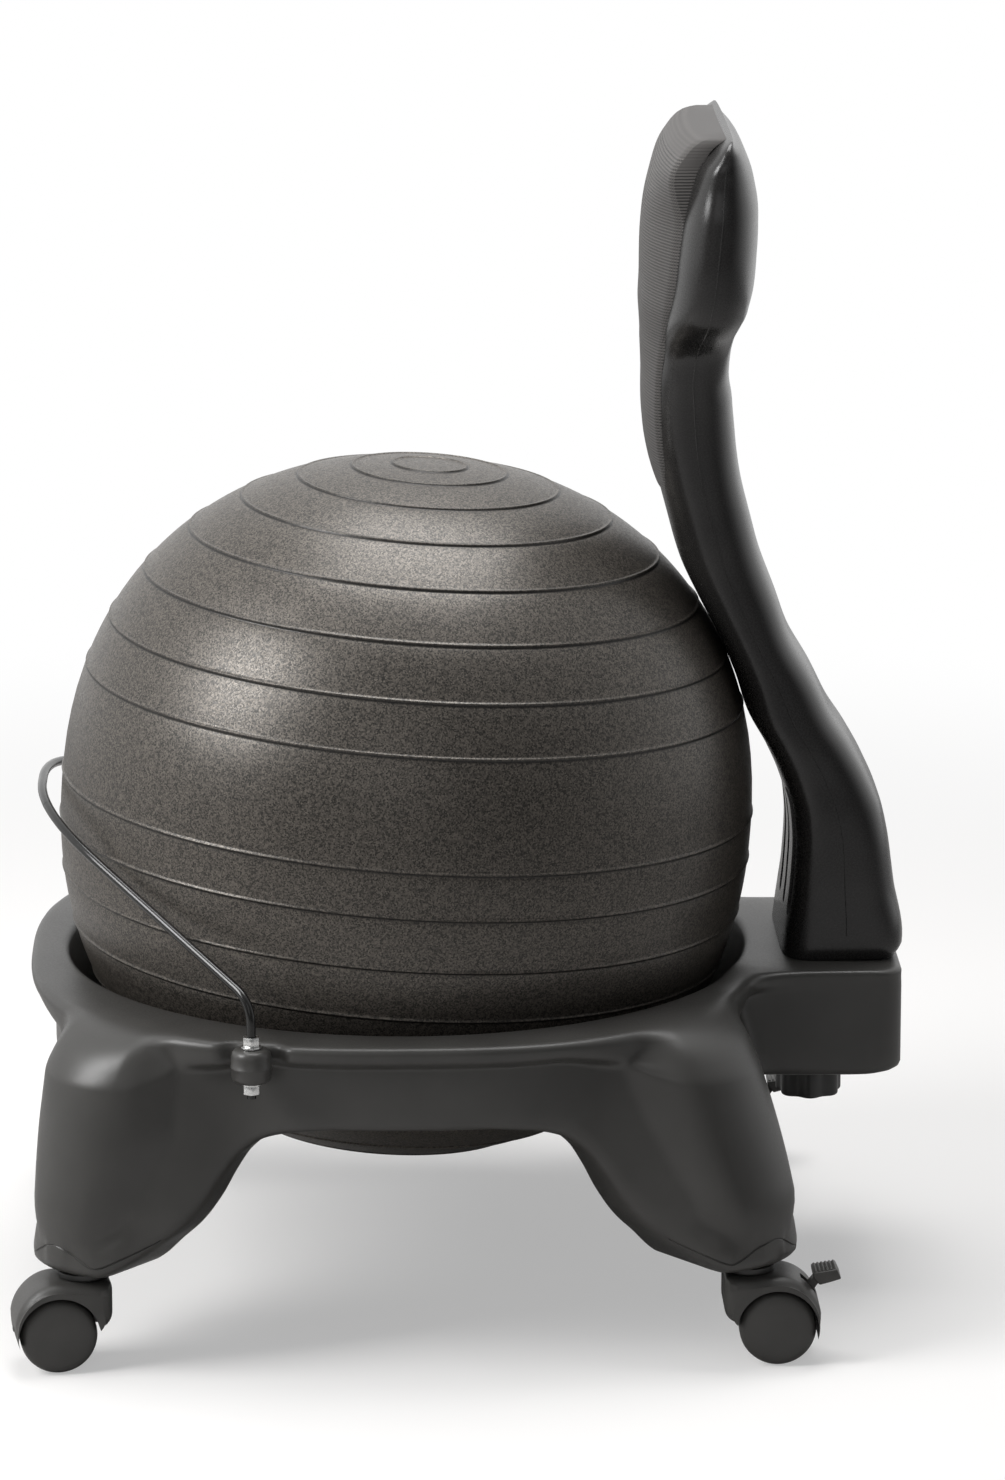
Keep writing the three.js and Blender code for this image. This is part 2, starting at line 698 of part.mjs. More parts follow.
function buildBar() {
  const section = new THREE.Shape();
  section.absarc(0, 0, barRadius, 0, 2 * Math.PI, false);
  const geometry = new THREE.ExtrudeGeometry(section, {
    steps: barSteps, extrudePath: barPath(), curveSegments: barSides / 2, bevelEnabled: false });
  add('retaining_bar', geometry, materials.bar);
}

function flangeNut(low, flangeBelow) {
  const bodyLow = flangeBelow ? low + nutFlangeThickness : low;
  const flangeLow = flangeBelow ? low : low + nutHeight;
  const hexRadius = nutAcrossFlats / Math.sqrt(3);
  const hex = post(hexRadius, bodyLow, bodyLow + nutHeight, 0, 0, 6);
  const flange = post(nutFlangeRadius, flangeLow, flangeLow + nutFlangeThickness, 0, 0, 12);
  const bore = post(barRadius + restGap, low - overrun, low + nutHeight + overrun, 0, 0, 8);
  return geometryOf(solid(hex).add(solid(flange)).subtract(solid(bore)));
}

function buildNuts() {
  const nutStack = nutHeight + nutFlangeThickness;
  for (const [name, side] of [['left', 1], ['right', -1]]) {
    const upper = add(`bar_upper_nut_${name}`, flangeNut(0, true), materials.zinc);
    upper.position.set(side * bossSide, -bossFront, bossTop + restGap);
    const lower = add(`bar_lower_nut_${name}`, flangeNut(0, false), materials.zinc);
    lower.position.set(side * bossSide, -bossFront, bossTop - bossHeight - restGap - nutStack);
  }
}

// Back support
function backStation(share) {
  const read = (column) => shareAt(backStationShares, share, column);
  const height = tailTop + restGap + share * backHeight;
  const ballReach = ballProfileRadius(height - ballCentreHeight) + ridgeHeight + backBallGap;
  return {
    height,
    front: Math.max(backFootFront - read(1) * backLean, ballReach),
    depth: read(2) * backFootDepth,
    half: read(3) * backHalfWidth,
    power: read(4),
  };
}

function backRing(station, skin, count) {
  const ring = [];
  const halfDepth = station.depth / 2 - skin;
  const half = station.half - skin;
  for (let step = 0; step < count; step += 1) {
    const angle = ((step + 0.5) / count) * 2 * Math.PI;
    const [across, along] = [Math.cos(angle), Math.sin(angle)];
    const x = half * Math.sign(across) * Math.abs(across) ** (2 / station.power);
    const y = halfDepth * Math.sign(along) * Math.abs(along) ** (2 / station.power);
    ring.push(new THREE.Vector3(x, station.front + station.depth / 2 + y, station.height));
  }
  return ring;
}

function backOutside(skin = 0) {
  const count = 20;
  const rings = backStationShares.map(([share]) => backRing(backStation(share), skin, count));
  return ringBody(rings, false);
}

function backHollow() {
  const count = 12;
  const lowShare = backPlugHeight / backHeight;
  const stations = backStationShares.map(([share]) => share)
    .filter((share) => share > lowShare && share < backHollowTopShare);
  return ringBody([lowShare, ...stations].map((share) => backRing(backStation(share), backWall, count)), false);
}

function slotCutter(x) {
  const [low, high] = [backStation(slotLowShare), backStation(slotHighShare)];
  const half = slotWidth / 2;
  const shape = new THREE.Shape();
  shape.absarc(x, low.height + half, half, Math.PI, 2 * Math.PI, false);
  shape.absarc(x, high.height - half, half, 0, Math.PI, false);
  const geometry = new THREE.ExtrudeGeometry(shape, {
    depth: slotCutDepth, bevelEnabled: false, curveSegments: 4 });
  geometry.rotateX(Math.PI / 2);
  geometry.translate(0, high.front + slotCutBehind, 0);
  return geometry;
}

function buildBack() {
  const clampY = backFootFront + clampSetback;
  const footBottom = tailTop + restGap;
  let body = solid(backOutside()).subtract(solid(backHollow()));
  for (let slot = 0; slot < slotCount; slot += 1) {
    body = body.subtract(solid(slotCutter((slot - (slotCount - 1) / 2) * slotSpacing)));
  }
  const seatTop = footBottom + insertHeight + restGap;
  const seat = post(insertRadius + restGap, footBottom - overrun, seatTop, 0, clampY, 18);
  const throughTop = footBottom + backPlugHeight + overrun;
  const through = post(studRadius + runningGap, footBottom, throughTop, 0, clampY, 16);
  body = body.subtract(solid(seat)).subtract(solid(through));
  add('back_support', geometryOf(body), materials.back);
  const insert = solid(post(insertRadius, footBottom, footBottom + insertHeight, 0, clampY, 18));
  const threadTop = footBottom + insertHeight + overrun;
  const thread = post(studRadius + restGap, footBottom - overrun, threadTop, 0, clampY, 16);
  add('back_insert_nut', geometryOf(insert.subtract(solid(thread))), materials.zinc);
}

function padRing(share, crownShare, widthShare) {
  const station = backStation(Math.min(share, 1));
  const height = tailTop + restGap + share * backHeight;
  const half = padTopWidth * widthShare;
  const middle = station.front - crownShare * padCrown;
  const acrossSteps = 10;
  const flatness = padFlatShare * easedShare(share, ...padFlatFromShares);
  const fallDepth = padCrown * (crownShare + padEdgeShare) * (1 - flatness);
  const bite = padBite * (1 - (1 - padTopBiteShare) * easedShare(share, ...padTopFromShares));
  const ring = [];
  for (let step = 0; step <= acrossSteps; step += 1) {
    const across = between(-1, 1, step / acrossSteps);
    const fall = Math.abs(across) ** padFallPower * fallDepth;
    ring.push(new THREE.Vector3(across * half, middle + fall, height));
  }
  for (const across of padBackShares) {
    ring.push(new THREE.Vector3(across * half, station.front + bite, height));
  }
  return ring;
}

function buildPad() {
  const rings = padStationShares.map(([share, crown, width]) => padRing(share, crown, width));
  const cut = solid(ringBody(rings, false)).subtract(solid(backOutside(-restGap)));
  add('back_pad', geometryOf(largestOf(cut)), materials.pad);
}

function knobShape() {
  const shape = new THREE.Shape();
  const stepsPerLobe = 4;
  const count = knobLobes * stepsPerLobe;
  for (let step = 0; step < count; step += 1) {
    const angle = (step / count) * 2 * Math.PI;
    const radius = knobRadius - knobLobeDepth * (1 - Math.cos(knobLobes * angle)) / 2;
    const [x, y] = [radius * Math.cos(angle), radius * Math.sin(angle)];
    if (step === 0) shape.moveTo(x, y);
    else shape.lineTo(x, y);
  }
  shape.closePath();
  return shape;
}

function buildClamp() {
  const clampY = backFootFront + clampSetback;
  const head = new THREE.ExtrudeGeometry(knobShape(), {
    depth: knobHeight - 2 * knobBevel, bevelEnabled: true, bevelThickness: knobBevel, bevelSize: knobBevel,
    bevelOffset: -knobBevel, bevelSegments: 1, curveSegments: 4 });
  head.translate(0, 0, knobBottom + knobBevel);
  const hub = post(knobHubRadius, knobBottom + knobHeight / 2, tailBottom - restGap, 0, 0, 20);
  const bore = post(studRadius + restGap, knobBottom + knobHeight / 2, tailBottom + overrun, 0, 0, 16);
  const body = solid(head).add(solid(hub)).subtract(solid(bore));
  const knob = add('clamp_knob', geometryOf(body), materials.knob);
  knob.position.y = clampY;
  const studTop = tailTop + backPlugHeight - restGap;
  const stud = post(studRadius, knobBottom + knobHeight / 2 + restGap, studTop, 0, 0, 16);
  const studMesh = add('clamp_stud', stud, materials.steel);
  studMesh.position.y = clampY;
}

// Casters: drawn about the wheel's centre, trailing towards +y
function hoodOutline() {
  const innerRadius = wheelRadius + hoodGap;
  const top = hoodTop - wheelRadius;
  const [lowest, turnIn, flank, corner] = hoodStemLowShares.map((share) => share * top);
  const [pull, reach, pullHeight, tipHeight, tipReach, tipDrop] = hoodTipShares;
  const shape = new THREE.Shape();
  shape.moveTo(-innerRadius, lowest);
  shape.quadraticCurveTo(-hoodStemSide, turnIn, -hoodStemSide, flank);
  shape.lineTo(-hoodStemSide, corner);
  shape.lineTo(corner - top - hoodStemSide + hoodGap, top);
  shape.lineTo(0, top);
  shape.bezierCurveTo(hoodTip * pull, top, hoodTip * reach, top * pullHeight, hoodTip, top * tipHeight);
  shape.quadraticCurveTo(hoodTip, 0, hoodTip * tipReach, -top * tipDrop);
  const tip = -Math.asin((top * tipDrop) / innerRadius);
  const start = Math.PI - Math.asin(lowest / innerRadius);
  shape.absarc(0, 0, innerRadius, tip, start, false);
  return shape;
}

function webOutline() {
  const radius = wheelRadius + 2 * hoodGap;
  const shape = new THREE.Shape();
  shape.absarc(0, 0, radius, 0, Math.PI * webEndShare, false);
  shape.lineTo(-webHubRadius, 0);
  shape.absarc(0, 0, webHubRadius, Math.PI, 2 * Math.PI, false);
  return shape;
}

function circleOutline(radius, y, z) {
  const shape = new THREE.Shape();
  shape.absarc(y, z, radius, 0, 2 * Math.PI, false);
  return shape;
}

function leverPivot() {
  return [leverPivotRadius * Math.cos(leverPivotAngle), leverPivotRadius * Math.sin(leverPivotAngle)];
}

function leverSlotOutline() {
  const [y, z] = leverPivot();
  const steps = 6;
  const shape = new THREE.Shape();
  shape.moveTo(y - leverHubRadius, z - leverHubRadius);
  for (let step = 0; step <= steps; step += 1) {
    const angle = between(...leverSlotTurns, step / steps);
    shape.lineTo(y + leverSlotReach * Math.cos(angle), z + leverSlotReach * Math.sin(angle));
  }
  return shape;
}

function hoodGeometry(braked) {
  const boreDepth = hoodTop - wheelRadius - stemSink - restGap;
  let hood = solid(sideExtrusion(hoodOutline(), hoodWidth, 5));
  hood = hood.add(solid(sideExtrusion(webOutline(), webWidth, 6)));
  hood = hood.subtract(solid(sideExtrusion(circleOutline(axleRadius + restGap, 0, 0), 2 * webWidth, 6)));
  const boreTop = hoodTop - wheelRadius + overrun;
  const stemBore = post(stemRadius + restGap, boreDepth, boreTop, 0, -casterTrail, 16);
  hood = hood.subtract(solid(stemBore));
  if (braked) {
    const [y, z] = leverPivot();
    const slotWide = leverWidth + 2 * runningGap;
    hood = hood.subtract(solid(sideExtrusion(leverSlotOutline(), slotWide)));
    hood = hood.subtract(solid(sideExtrusion(circleOutline(leverHubRadius + runningGap, y, z), slotWide, 6)));
    const pinBore = sideExtrusion(circleOutline(leverPinRadius + restGap, y, z), leverWidth * 2, 6);
    hood = hood.subtract(solid(pinBore));
  }
  return geometryOf(hood);
}

function wheelGeometry(side) {
  const inner = wheelFace - wheelWidth;
  const flat = 1 / Math.cos(Math.PI / wheelSegments);
  const bore = axleRadius + restGap;
  const boreEnd = wheelFace - wheelEdge - boreEndGap;
  const [dish, edgeIn, edgeDown] = wheelDishShares;
  const outline = [
    [0, wheelFace - 2 * wheelFaceStep], [wheelRadius * dish, wheelFace - wheelFaceStep],
    [wheelRadius - wheelEdge * edgeIn, wheelFace - wheelEdge * edgeDown],
    [wheelRadius, wheelFace - wheelEdge], [wheelRadius, inner],
    [bore, inner], [bore, boreEnd], [0, boreEnd]];
  const points = outline.map(([radius, along]) => new THREE.Vector2(radius * flat, along)).reverse();
  const geometry = new THREE.LatheGeometry(points, wheelSegments, Math.PI / wheelSegments);
  geometry.rotateZ(-Math.PI / 2);
  if (side < 0) geometry.rotateZ(Math.PI);
  return geometry;
}

function leverGeometry() {
  const [y, z] = leverPivot();
  const corner = ([forward, height]) => new THREE.Vector2(y + forward * leverLength, height * leverRise);
  const paddle = new THREE.Shape(paddleShares.map(corner));
  const arm = new THREE.Shape();
  arm.absarc(y, z, leverHubRadius, Math.PI * leverHubTurns[0], Math.PI * leverHubTurns[1], false);
  armShares.map(corner).forEach((point) => arm.lineTo(point.x, point.y));
  const body = solid(sideExtrusion(arm, leverWidth, 6)).add(solid(sideExtrusion(paddle, paddleWidth)));
  const pinHole = sideExtrusion(circleOutline(leverPinRadius + restGap, y, z), leverWidth * 2, 6);
  return geometryOf(body.subtract(solid(pinHole)));
}

function crossPin(radius, length, y, z, segments) {
  const geometry = new THREE.CylinderGeometry(radius, radius, length, segments);
  geometry.rotateZ(Math.PI / 2);
  geometry.translate(0, y, z);
  return geometry;
}

function socketGeometry() {
  const collarLow = hoodTop + restGap;
  const collarTop = collarLow + collarHeight;
  const collar = solid(post(collarRadius, collarLow, collarTop, 0, 0, 20));
  const tube = solid(post(socketRadius, collarLow, collarTop + socketHeight, 0, 0, 12));
  const bore = post(stemRadius + restGap, collarLow - overrun, collarTop + socketHeight + overrun, 0, 0, 12);
  return geometryOf(collar.add(tube).subtract(solid(bore)));
}

function buildCaster([name, x, y, turn, braked]) {
  const stemFrame = new THREE.Group();
  stemFrame.position.set(x, y, 0);
  chair.add(stemFrame);
  add(`stem_socket_${name}`, socketGeometry(), materials.knob, stemFrame);
  const stemLow = hoodTop - stemSink;
  const stem = post(stemRadius, stemLow, stemLow + stemHeight, 0, 0, 12);
  add(`caster_stem_${name}`, stem, materials.steel, stemFrame);
  const turning = new THREE.Group();
  turning.rotation.z = turn;
  stemFrame.add(turning);
  const wheelFrame = new THREE.Group();
  wheelFrame.position.set(0, casterTrail, wheelRadius);
  turning.add(wheelFrame);
  add(`caster_hood_${name}`, hoodGeometry(braked), materials.nylon, wheelFrame);
  const axleLength = 2 * (wheelFace - wheelEdge - boreEndGap - restGap);
  add(`caster_axle_${name}`, crossPin(axleRadius, axleLength, 0, 0, 10), materials.steel, wheelFrame);
  add(`caster_wheel_a_${name}`, wheelGeometry(1), materials.nylon, wheelFrame);
  add(`caster_wheel_b_${name}`, wheelGeometry(-1), materials.nylon, wheelFrame);
  if (braked) {
    const [pinY, pinZ] = leverPivot();
    add(`brake_lever_${name}`, leverGeometry(), materials.nylon, wheelFrame);
    const pin = crossPin(leverPinRadius, 2 * (leverWidth - restGap), pinY, pinZ, 8);
    add(`brake_pin_${name}`, pin, materials.steel, wheelFrame);
  }
}

buildBase();
buildBall();
buildBar();
buildNuts();
buildBack();
buildPad();
buildClamp();
casterPlaces().forEach(buildCaster);

// The origin is on the floor, under the middle of the whole chair's box
const box = new THREE.Box3().setFromObject(chair, true);
const middle = box.getCenter(new THREE.Vector3());
chair.position.set(-middle.x, -middle.y, -box.min.z);

export default chair;
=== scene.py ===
# %% [markdown]
# # Dressing a balance ball chair
# The chair is a blow-moulded plastic ring on four casters. An inflated ball sits in the ring, a wire
# bar keeps the ball in, and a bolted back support carries a small knitted pad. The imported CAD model
# gives every piece its place. Here each piece that shows is modelled again in fine detail, in the
# same frame and in metres, and the few pieces that hide inside keep the CAD mesh and get a material.

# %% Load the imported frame
from math import asin, atan2, copysign, cos, degrees, dist, exp, hypot, pi, radians, sin, sqrt, tau

import bpy
from mathutils import Matrix, Vector


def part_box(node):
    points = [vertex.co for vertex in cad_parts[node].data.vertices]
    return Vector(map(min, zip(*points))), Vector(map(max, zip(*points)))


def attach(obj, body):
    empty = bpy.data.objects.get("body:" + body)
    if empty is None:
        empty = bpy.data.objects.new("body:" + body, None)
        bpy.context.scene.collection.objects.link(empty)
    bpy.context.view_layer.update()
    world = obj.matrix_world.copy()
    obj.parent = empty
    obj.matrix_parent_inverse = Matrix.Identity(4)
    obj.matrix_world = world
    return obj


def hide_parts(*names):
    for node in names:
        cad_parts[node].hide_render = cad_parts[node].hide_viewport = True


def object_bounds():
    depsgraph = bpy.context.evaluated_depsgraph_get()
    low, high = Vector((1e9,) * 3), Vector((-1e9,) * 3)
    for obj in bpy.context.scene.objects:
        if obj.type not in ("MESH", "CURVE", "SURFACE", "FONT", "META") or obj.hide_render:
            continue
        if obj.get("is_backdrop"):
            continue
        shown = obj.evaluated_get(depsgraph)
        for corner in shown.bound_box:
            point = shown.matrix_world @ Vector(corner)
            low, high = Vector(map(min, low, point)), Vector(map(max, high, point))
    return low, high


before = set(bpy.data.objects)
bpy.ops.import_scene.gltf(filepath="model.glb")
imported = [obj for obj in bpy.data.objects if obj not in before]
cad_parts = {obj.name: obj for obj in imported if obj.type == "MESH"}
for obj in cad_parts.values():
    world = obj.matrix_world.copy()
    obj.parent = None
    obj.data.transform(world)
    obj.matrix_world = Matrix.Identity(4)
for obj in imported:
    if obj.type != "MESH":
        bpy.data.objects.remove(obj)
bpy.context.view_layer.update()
MM = 0.001

# %% [markdown]
# ## Where the drawing's centre is
# The ring and the ball are round about one upright axis. The clamp's stud stands 272 mm behind it,
# so the stud's box tells where the axis is. The drawing is in millimetres from axis and floor.

# %% Drawing place to frame place
# In millimetres: the stud behind the axis, the ball's middle above the floor, the ball's radius and
# half its height. The power makes the ball's side view fuller than an ellipse, which would be 2.
STUD_SETBACK, BALL_HEIGHT, BALL_RADIUS, BALL_HALF, BALL_POWER = 272, 319, 231, 232, 2.2
UP, LEFT = Vector((0, 0, 1)), Vector((1, 0, 0))
stud_low, stud_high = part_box("clamp_stud")
axis_y = (stud_low.y + stud_high.y) / 2 - STUD_SETBACK * MM


def placed(x, y, z):
    """A point in millimetres from the ball's axis and the floor, as a place in the frame."""
    return Vector((x * MM, y * MM + axis_y, z * MM))


print("ball axis at y", round(axis_y, 5))

# %% [markdown]
# ## Camera
# The photograph was taken from the chair's left, about 14 degrees above the floor, with a long lens.
# The camera is aimed by its own right, up and forward directions instead of a target, because these
# were measured from the photograph. The long side of the picture is the sensor's 36 mm.

# %% Add the camera
bpy.ops.object.camera_add(location=placed(4218.2, -60.9, 1405.9))
camera = bpy.context.object
camera.name = "photo_camera"
look = Vector((-0.97029, 0.02880, -0.24023))
right = Vector((0.02967, 0.99956, 0))
up = right.cross(look)
camera.rotation_euler = Matrix((right, up, -look)).transposed().to_euler()
camera.data.lens = 158.1
camera.data.clip_end = 60
bpy.context.scene.camera = camera
bpy.context.scene.view_settings.view_transform = "Standard"
print("camera at", [round(v, 3) for v in camera.location])

# %% [markdown]
# ## Floor, white surround and lights
# The photograph shows a white studio: a broad soft light from the front left, a large one overhead,
# and a pale floor with soft shadows that turns pure white further out. The camera sees a white
# world. Reflections see it too, dimmed on the camera's side, and all other rays get only a weak glow
# from it, so the lamps do the lighting.

# %% Helpers for nodes and colours
def linear(hex_colour):
    """A colour written as sRGB hex, as the linear numbers that shaders use."""
    channels = [int(hex_colour[i:i + 2], 16) / 255 for i in (1, 3, 5)]
    return tuple(c / 12.92 if c <= 0.04045 else ((c + 0.055) / 1.055) ** 2.4 for c in channels) + (1,)


def empty_tree(owner):
    """The node tree of a world or a material, without the nodes it starts with."""
    owner.use_nodes = True
    owner.node_tree.nodes.clear()
    return owner.node_tree


def plug(tree, node, inputs):
    """Fill a node's inputs, by name or number: an output is linked, any other value is written."""
    for socket, value in inputs.items():
        if isinstance(value, bpy.types.NodeSocket):
            tree.links.new(value, node.inputs[socket])
        else:
            node.inputs[socket].default_value = value


def add_node(tree, kind, inputs=None, **settings):
    """Add a shader node with its options and its inputs."""
    node = tree.nodes.new("ShaderNode" + kind)
    for option, value in settings.items():
        setattr(node, option, value)
    plug(tree, node, inputs or {})
    return node


def maths(tree, operation, *values, **settings):
    """The result of an operation on one or two numbers."""
    return add_node(tree, "Math", dict(enumerate(values)), operation=operation, **settings).outputs[0]


def ranged(tree, value, source=(0, 1), target=(0, 1), **settings):
    """A number moved from its source range to a target range."""
    limits = dict(zip(("From Min", "From Max", "To Min", "To Max"), (*source, *target)))
    return add_node(tree, "MapRange", {"Value": value, **limits}, **settings).outputs[0]


def mixed(tree, share, first, second):
    """Two shaders mixed: the share is how much of the second."""
    return add_node(tree, "MixShader", {0: share, 1: first.outputs[0], 2: second.outputs[0]})


# %% White world, dimmed on the camera's side for reflections
world = bpy.data.worlds.new("white_studio")
bpy.context.scene.world = world
sky = empty_tree(world)
paths = add_node(sky, "LightPath").outputs
seen = maths(sky, "ADD", paths["Is Camera Ray"], paths["Is Glossy Ray"])
seen = maths(sky, "ADD", seen, paths["Is Transmission Ray"], use_clamp=True)
heading = add_node(sky, "TexCoord").outputs["Generated"]
to_camera = add_node(sky, "SeparateXYZ", {0: heading}).outputs["X"]
lit = maths(sky, "MAXIMUM", ranged(sky, to_camera, (-0.2, 0.75), (1.0, 0.1)), paths["Is Camera Ray"])
weak = add_node(sky, "Background", {"Color": linear("#f2f4f8"), "Strength": 0.2})
white = add_node(sky, "Background", {"Color": linear("#ffffff"), "Strength": lit})
add_node(sky, "OutputWorld", {"Surface": mixed(sky, seen, weak, white).outputs[0]})

# %% Soft lights
ball_middle = placed(0, 0, BALL_HEIGHT)


def softbox(name, direction, distance, width, height, power):
    """A rectangular lamp that faces the ball's middle."""
    bpy.ops.object.light_add(type="AREA", location=ball_middle + Vector(direction).normalized() * distance)
    lamp = bpy.context.object
    lamp.name = name
    lamp.rotation_euler = Vector(direction).to_track_quat("Z", "Y").to_euler()
    lamp.data.shape = "RECTANGLE"
    lamp.data.size, lamp.data.size_y, lamp.data.energy = width, height, power


softbox("front_softbox", (0.30, -0.76, 0.58), 2.2, 1.0, 1.1, 44)
softbox("overhead_softbox", (-0.14, 0.05, 0.985), 1.9, 1.3, 1.3, 36)
softbox("camera_fill", (0.9, -0.1, 0.35), 3.2, 1.6, 1.6, 5)

# %% Pale floor
bpy.ops.mesh.primitive_circle_add(vertices=96, radius=2.6, fill_type="NGON", location=(0, 0, -0.0004))
floor = bpy.context.object
floor.name = "studio_floor"
bpy.ops.object.transform_apply(location=True, rotation=True, scale=True)
paper = bpy.data.materials.new("matt_paper_floor")
tree = empty_tree(paper)
where = add_node(tree, "TexCoord").outputs["Object"]
reach = add_node(tree, "VectorMath", {0: where}, operation="LENGTH").outputs["Value"]
by_camera = add_node(tree, "LightPath").outputs["Is Camera Ray"]
# For the camera alone, the paper turns white between 0.7 and 1.9 m out, and all of it is a bit brighter
fade = maths(tree, "MULTIPLY", ranged(tree, reach, (0.7, 1.9), interpolation_type="SMOOTHSTEP"), by_camera)
matt = add_node(tree, "BsdfDiffuse", {"Color": linear("#f6f4f2")})
glow = add_node(tree, "Emission", {"Color": linear("#ffffff"), "Strength": 1.0})
lift = add_node(tree, "Emission", {"Color": linear("#ffffff"), "Strength": by_camera})
lifted = mixed(tree, 0.4, mixed(tree, fade, matt, glow), lift)
add_node(tree, "OutputMaterial", {"Surface": lifted.outputs[0]})
floor.data.materials.append(paper)
floor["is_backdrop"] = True

# %% [markdown]
# ## Finishes
# Each finish is named for what the real one is. Patterns read Object coordinates, which are metres
# here, so a scale is one over a real size. The ring and the back support are blow-moulded
# polyethylene: air presses the soft plastic against a blasted steel mould, which leaves a satin skin
# with a very fine grain and slow waves where the wall cooled unevenly.

# %% Shared parts of a finish
def finish_base(name):
    """A material with its shader and output, and the Object coordinates."""
    material = bpy.data.materials.new(name)
    tree = empty_tree(material)
    shader = add_node(tree, "BsdfPrincipled")
    add_node(tree, "OutputMaterial", {"Surface": shader.outputs[0]})
    return material, tree, shader, add_node(tree, "TexCoord").outputs["Object"]


def noise(tree, at, size, detail, roughness=0.5):
    """Noise whose waves have a real size, in metres."""
    inputs = {"Vector": at, "Scale": 1 / size, "Detail": detail, "Roughness": roughness}
    return add_node(tree, "TexNoise", inputs).outputs[0]


def two_tones(tree, value, dark_at, dark, light_at, light):
    """A colour that a number moves from a dark tone to a light one."""
    ramp = add_node(tree, "ValToRGB", {"Fac": value})
    low, high = ramp.color_ramp.elements
    low.position, low.color = dark_at, linear(dark)
    high.position, high.color = light_at, linear(light)
    return ramp.outputs[0]


def bumped(tree, value, depth, strength):
    """A bump of a real depth, in metres."""
    return add_node(tree, "Bump", {"Height": value, "Distance": depth, "Strength": strength}).outputs[0]


def moulded_plastic(name, dark, light, roughness, grain, grain_depth, slow):
    """Moulded plastic: slow colour waves, a fine grain in the bump and in the roughness."""
    material, tree, shader, at = finish_base(name)
    fine = noise(tree, at, grain, 4, 0.6)
    plug(tree, shader, {
        "Base Color": two_tones(tree, noise(tree, at, slow, 3), 0.3, dark, 0.7, light),
        "Roughness": ranged(tree, fine, (0.3, 0.7), (roughness - 0.05, roughness + 0.06)),
        "Normal": bumped(tree, fine, grain_depth, 0.5),
        "IOR": 1.5})
    return material


# Blow-moulded polyethylene: the real grain is 0.3 mm, drawn at 1.2 mm so that it shows, and the
# slow waves are 50 mm long
base_plastic = moulded_plastic("blow_moulded_polyethylene", "#353432", "#3d3c3a", 0.38, 1.2 * MM, 0.05 * MM,
                               50 * MM)
back_plastic = moulded_plastic("blow_moulded_polyethylene_back", "#1f1e1e", "#262524", 0.27, 1.2 * MM,
                               0.04 * MM, 50 * MM)
# Injection-moulded glass-filled nylon, a little duller: grain 0.9 mm, waves 20 mm
caster_nylon = moulded_plastic("glass_filled_nylon", "#383735", "#3f3e3c", 0.44, 0.9 * MM, 0.04 * MM, 20 * MM)
# Injection-moulded ABS of the knob, the collars and the plug: grain 0.8 mm, waves 20 mm
knob_plastic = moulded_plastic("moulded_black_abs", "#232322", "#2b2b2a", 0.4, 0.8 * MM, 0.03 * MM, 20 * MM)
print("moulded plastics made")

# %% [markdown]
# The ball is PVC vinyl with pearl pigment, rotation-moulded and then blown up. The tiny flakes in it
# catch the light one by one, so the lit side sparkles like fine sand, and its colour is a warm grey.
# Beside each rib the skin is painted darker, as painted shade in the groove under the bead.

# %% Pearl vinyl
ball_vinyl, tree, shader, at = finish_base("pearl_pvc_vinyl")
# Flakes 0.9 mm across, and a skin whose unevenness is 1.6 mm across and 0.12 mm deep
flakes = add_node(tree, "TexVoronoi", {"Vector": at, "Scale": 1 / (0.9 * MM)}).outputs["Color"]
skin = noise(tree, at, 1.6 * MM, 3)
chance = add_node(tree, "SeparateColor", {0: flakes}).outputs
pearl = two_tones(tree, chance[0], 0.1, "#2b2926", 1.0, "#67615a")
# Painted shade: beside each rib the skin is mixed towards nearly black by the stored share.
beside = add_node(tree, "Attribute", attribute_name="painted_shade_by_rib").outputs["Fac"]
tone = add_node(tree, "Mix", {0: beside, 6: pearl, 7: linear("#141312")}, data_type="RGBA").outputs[2]
plug(tree, shader, {"Base Color": tone, "Roughness": ranged(tree, chance[1], target=(0.32, 0.48)),
                    "Normal": bumped(tree, skin, 0.12 * MM, 0.8), "Metallic": 0.4, "IOR": 1.53})

# %% [markdown]
# The pad's cover is a ribbed polyester knit of grey yarn. Ribs run across it about every 2 mm, and each
# rib is a row of loops. The valleys between the ribs are painted nearly black as painted shade. On the
# top face the cover is a plain band without ribs.

# %% Ribbed knit
pad_knit, tree, shader, at = finish_base("ribbed_polyester_knit")
axes = add_node(tree, "SeparateXYZ", {0: at}).outputs
# A rib every 2.0 mm of height, a loop every 1.5 mm along a rib
rib, loop = [maths(tree, "SINE", maths(tree, "MULTIPLY", axes[axis], tau / (size * MM)))
             for axis, size in (("Z", 2.0), ("X", 1.5))]
both_ways = maths(tree, "ADD", rib, maths(tree, "MULTIPLY", rib, loop))
# The plain band begins between 764 and 766 mm above the floor
ribbed = ranged(tree, axes["Z"], (764 * MM, 766 * MM), (1.0, 0.15))
height = ranged(tree, maths(tree, "MULTIPLY", both_ways, ribbed), (-1.6, 1.6))
# Painted shade: the colour follows the knit's height, nearly black in the valleys and grey on top.
plug(tree, shader, {"Base Color": two_tones(tree, height, 0.25, "#242322", 0.7, "#595654"),
                    "Normal": bumped(tree, height, 0.5 * MM, 0.7), "Roughness": 0.85,
                    "Sheen Weight": 0.12, "Sheen Roughness": 0.5})

# %% [markdown]
# The bar is steel rod in gloss black enamel, so it mirrors the lamps as thin lines. Its nuts are
# bright zinc plate, and the axles and stems are plain drawn steel.

# %% Enamel, zinc and steel
bar_enamel, tree, shader, at = finish_base("gloss_black_enamel")
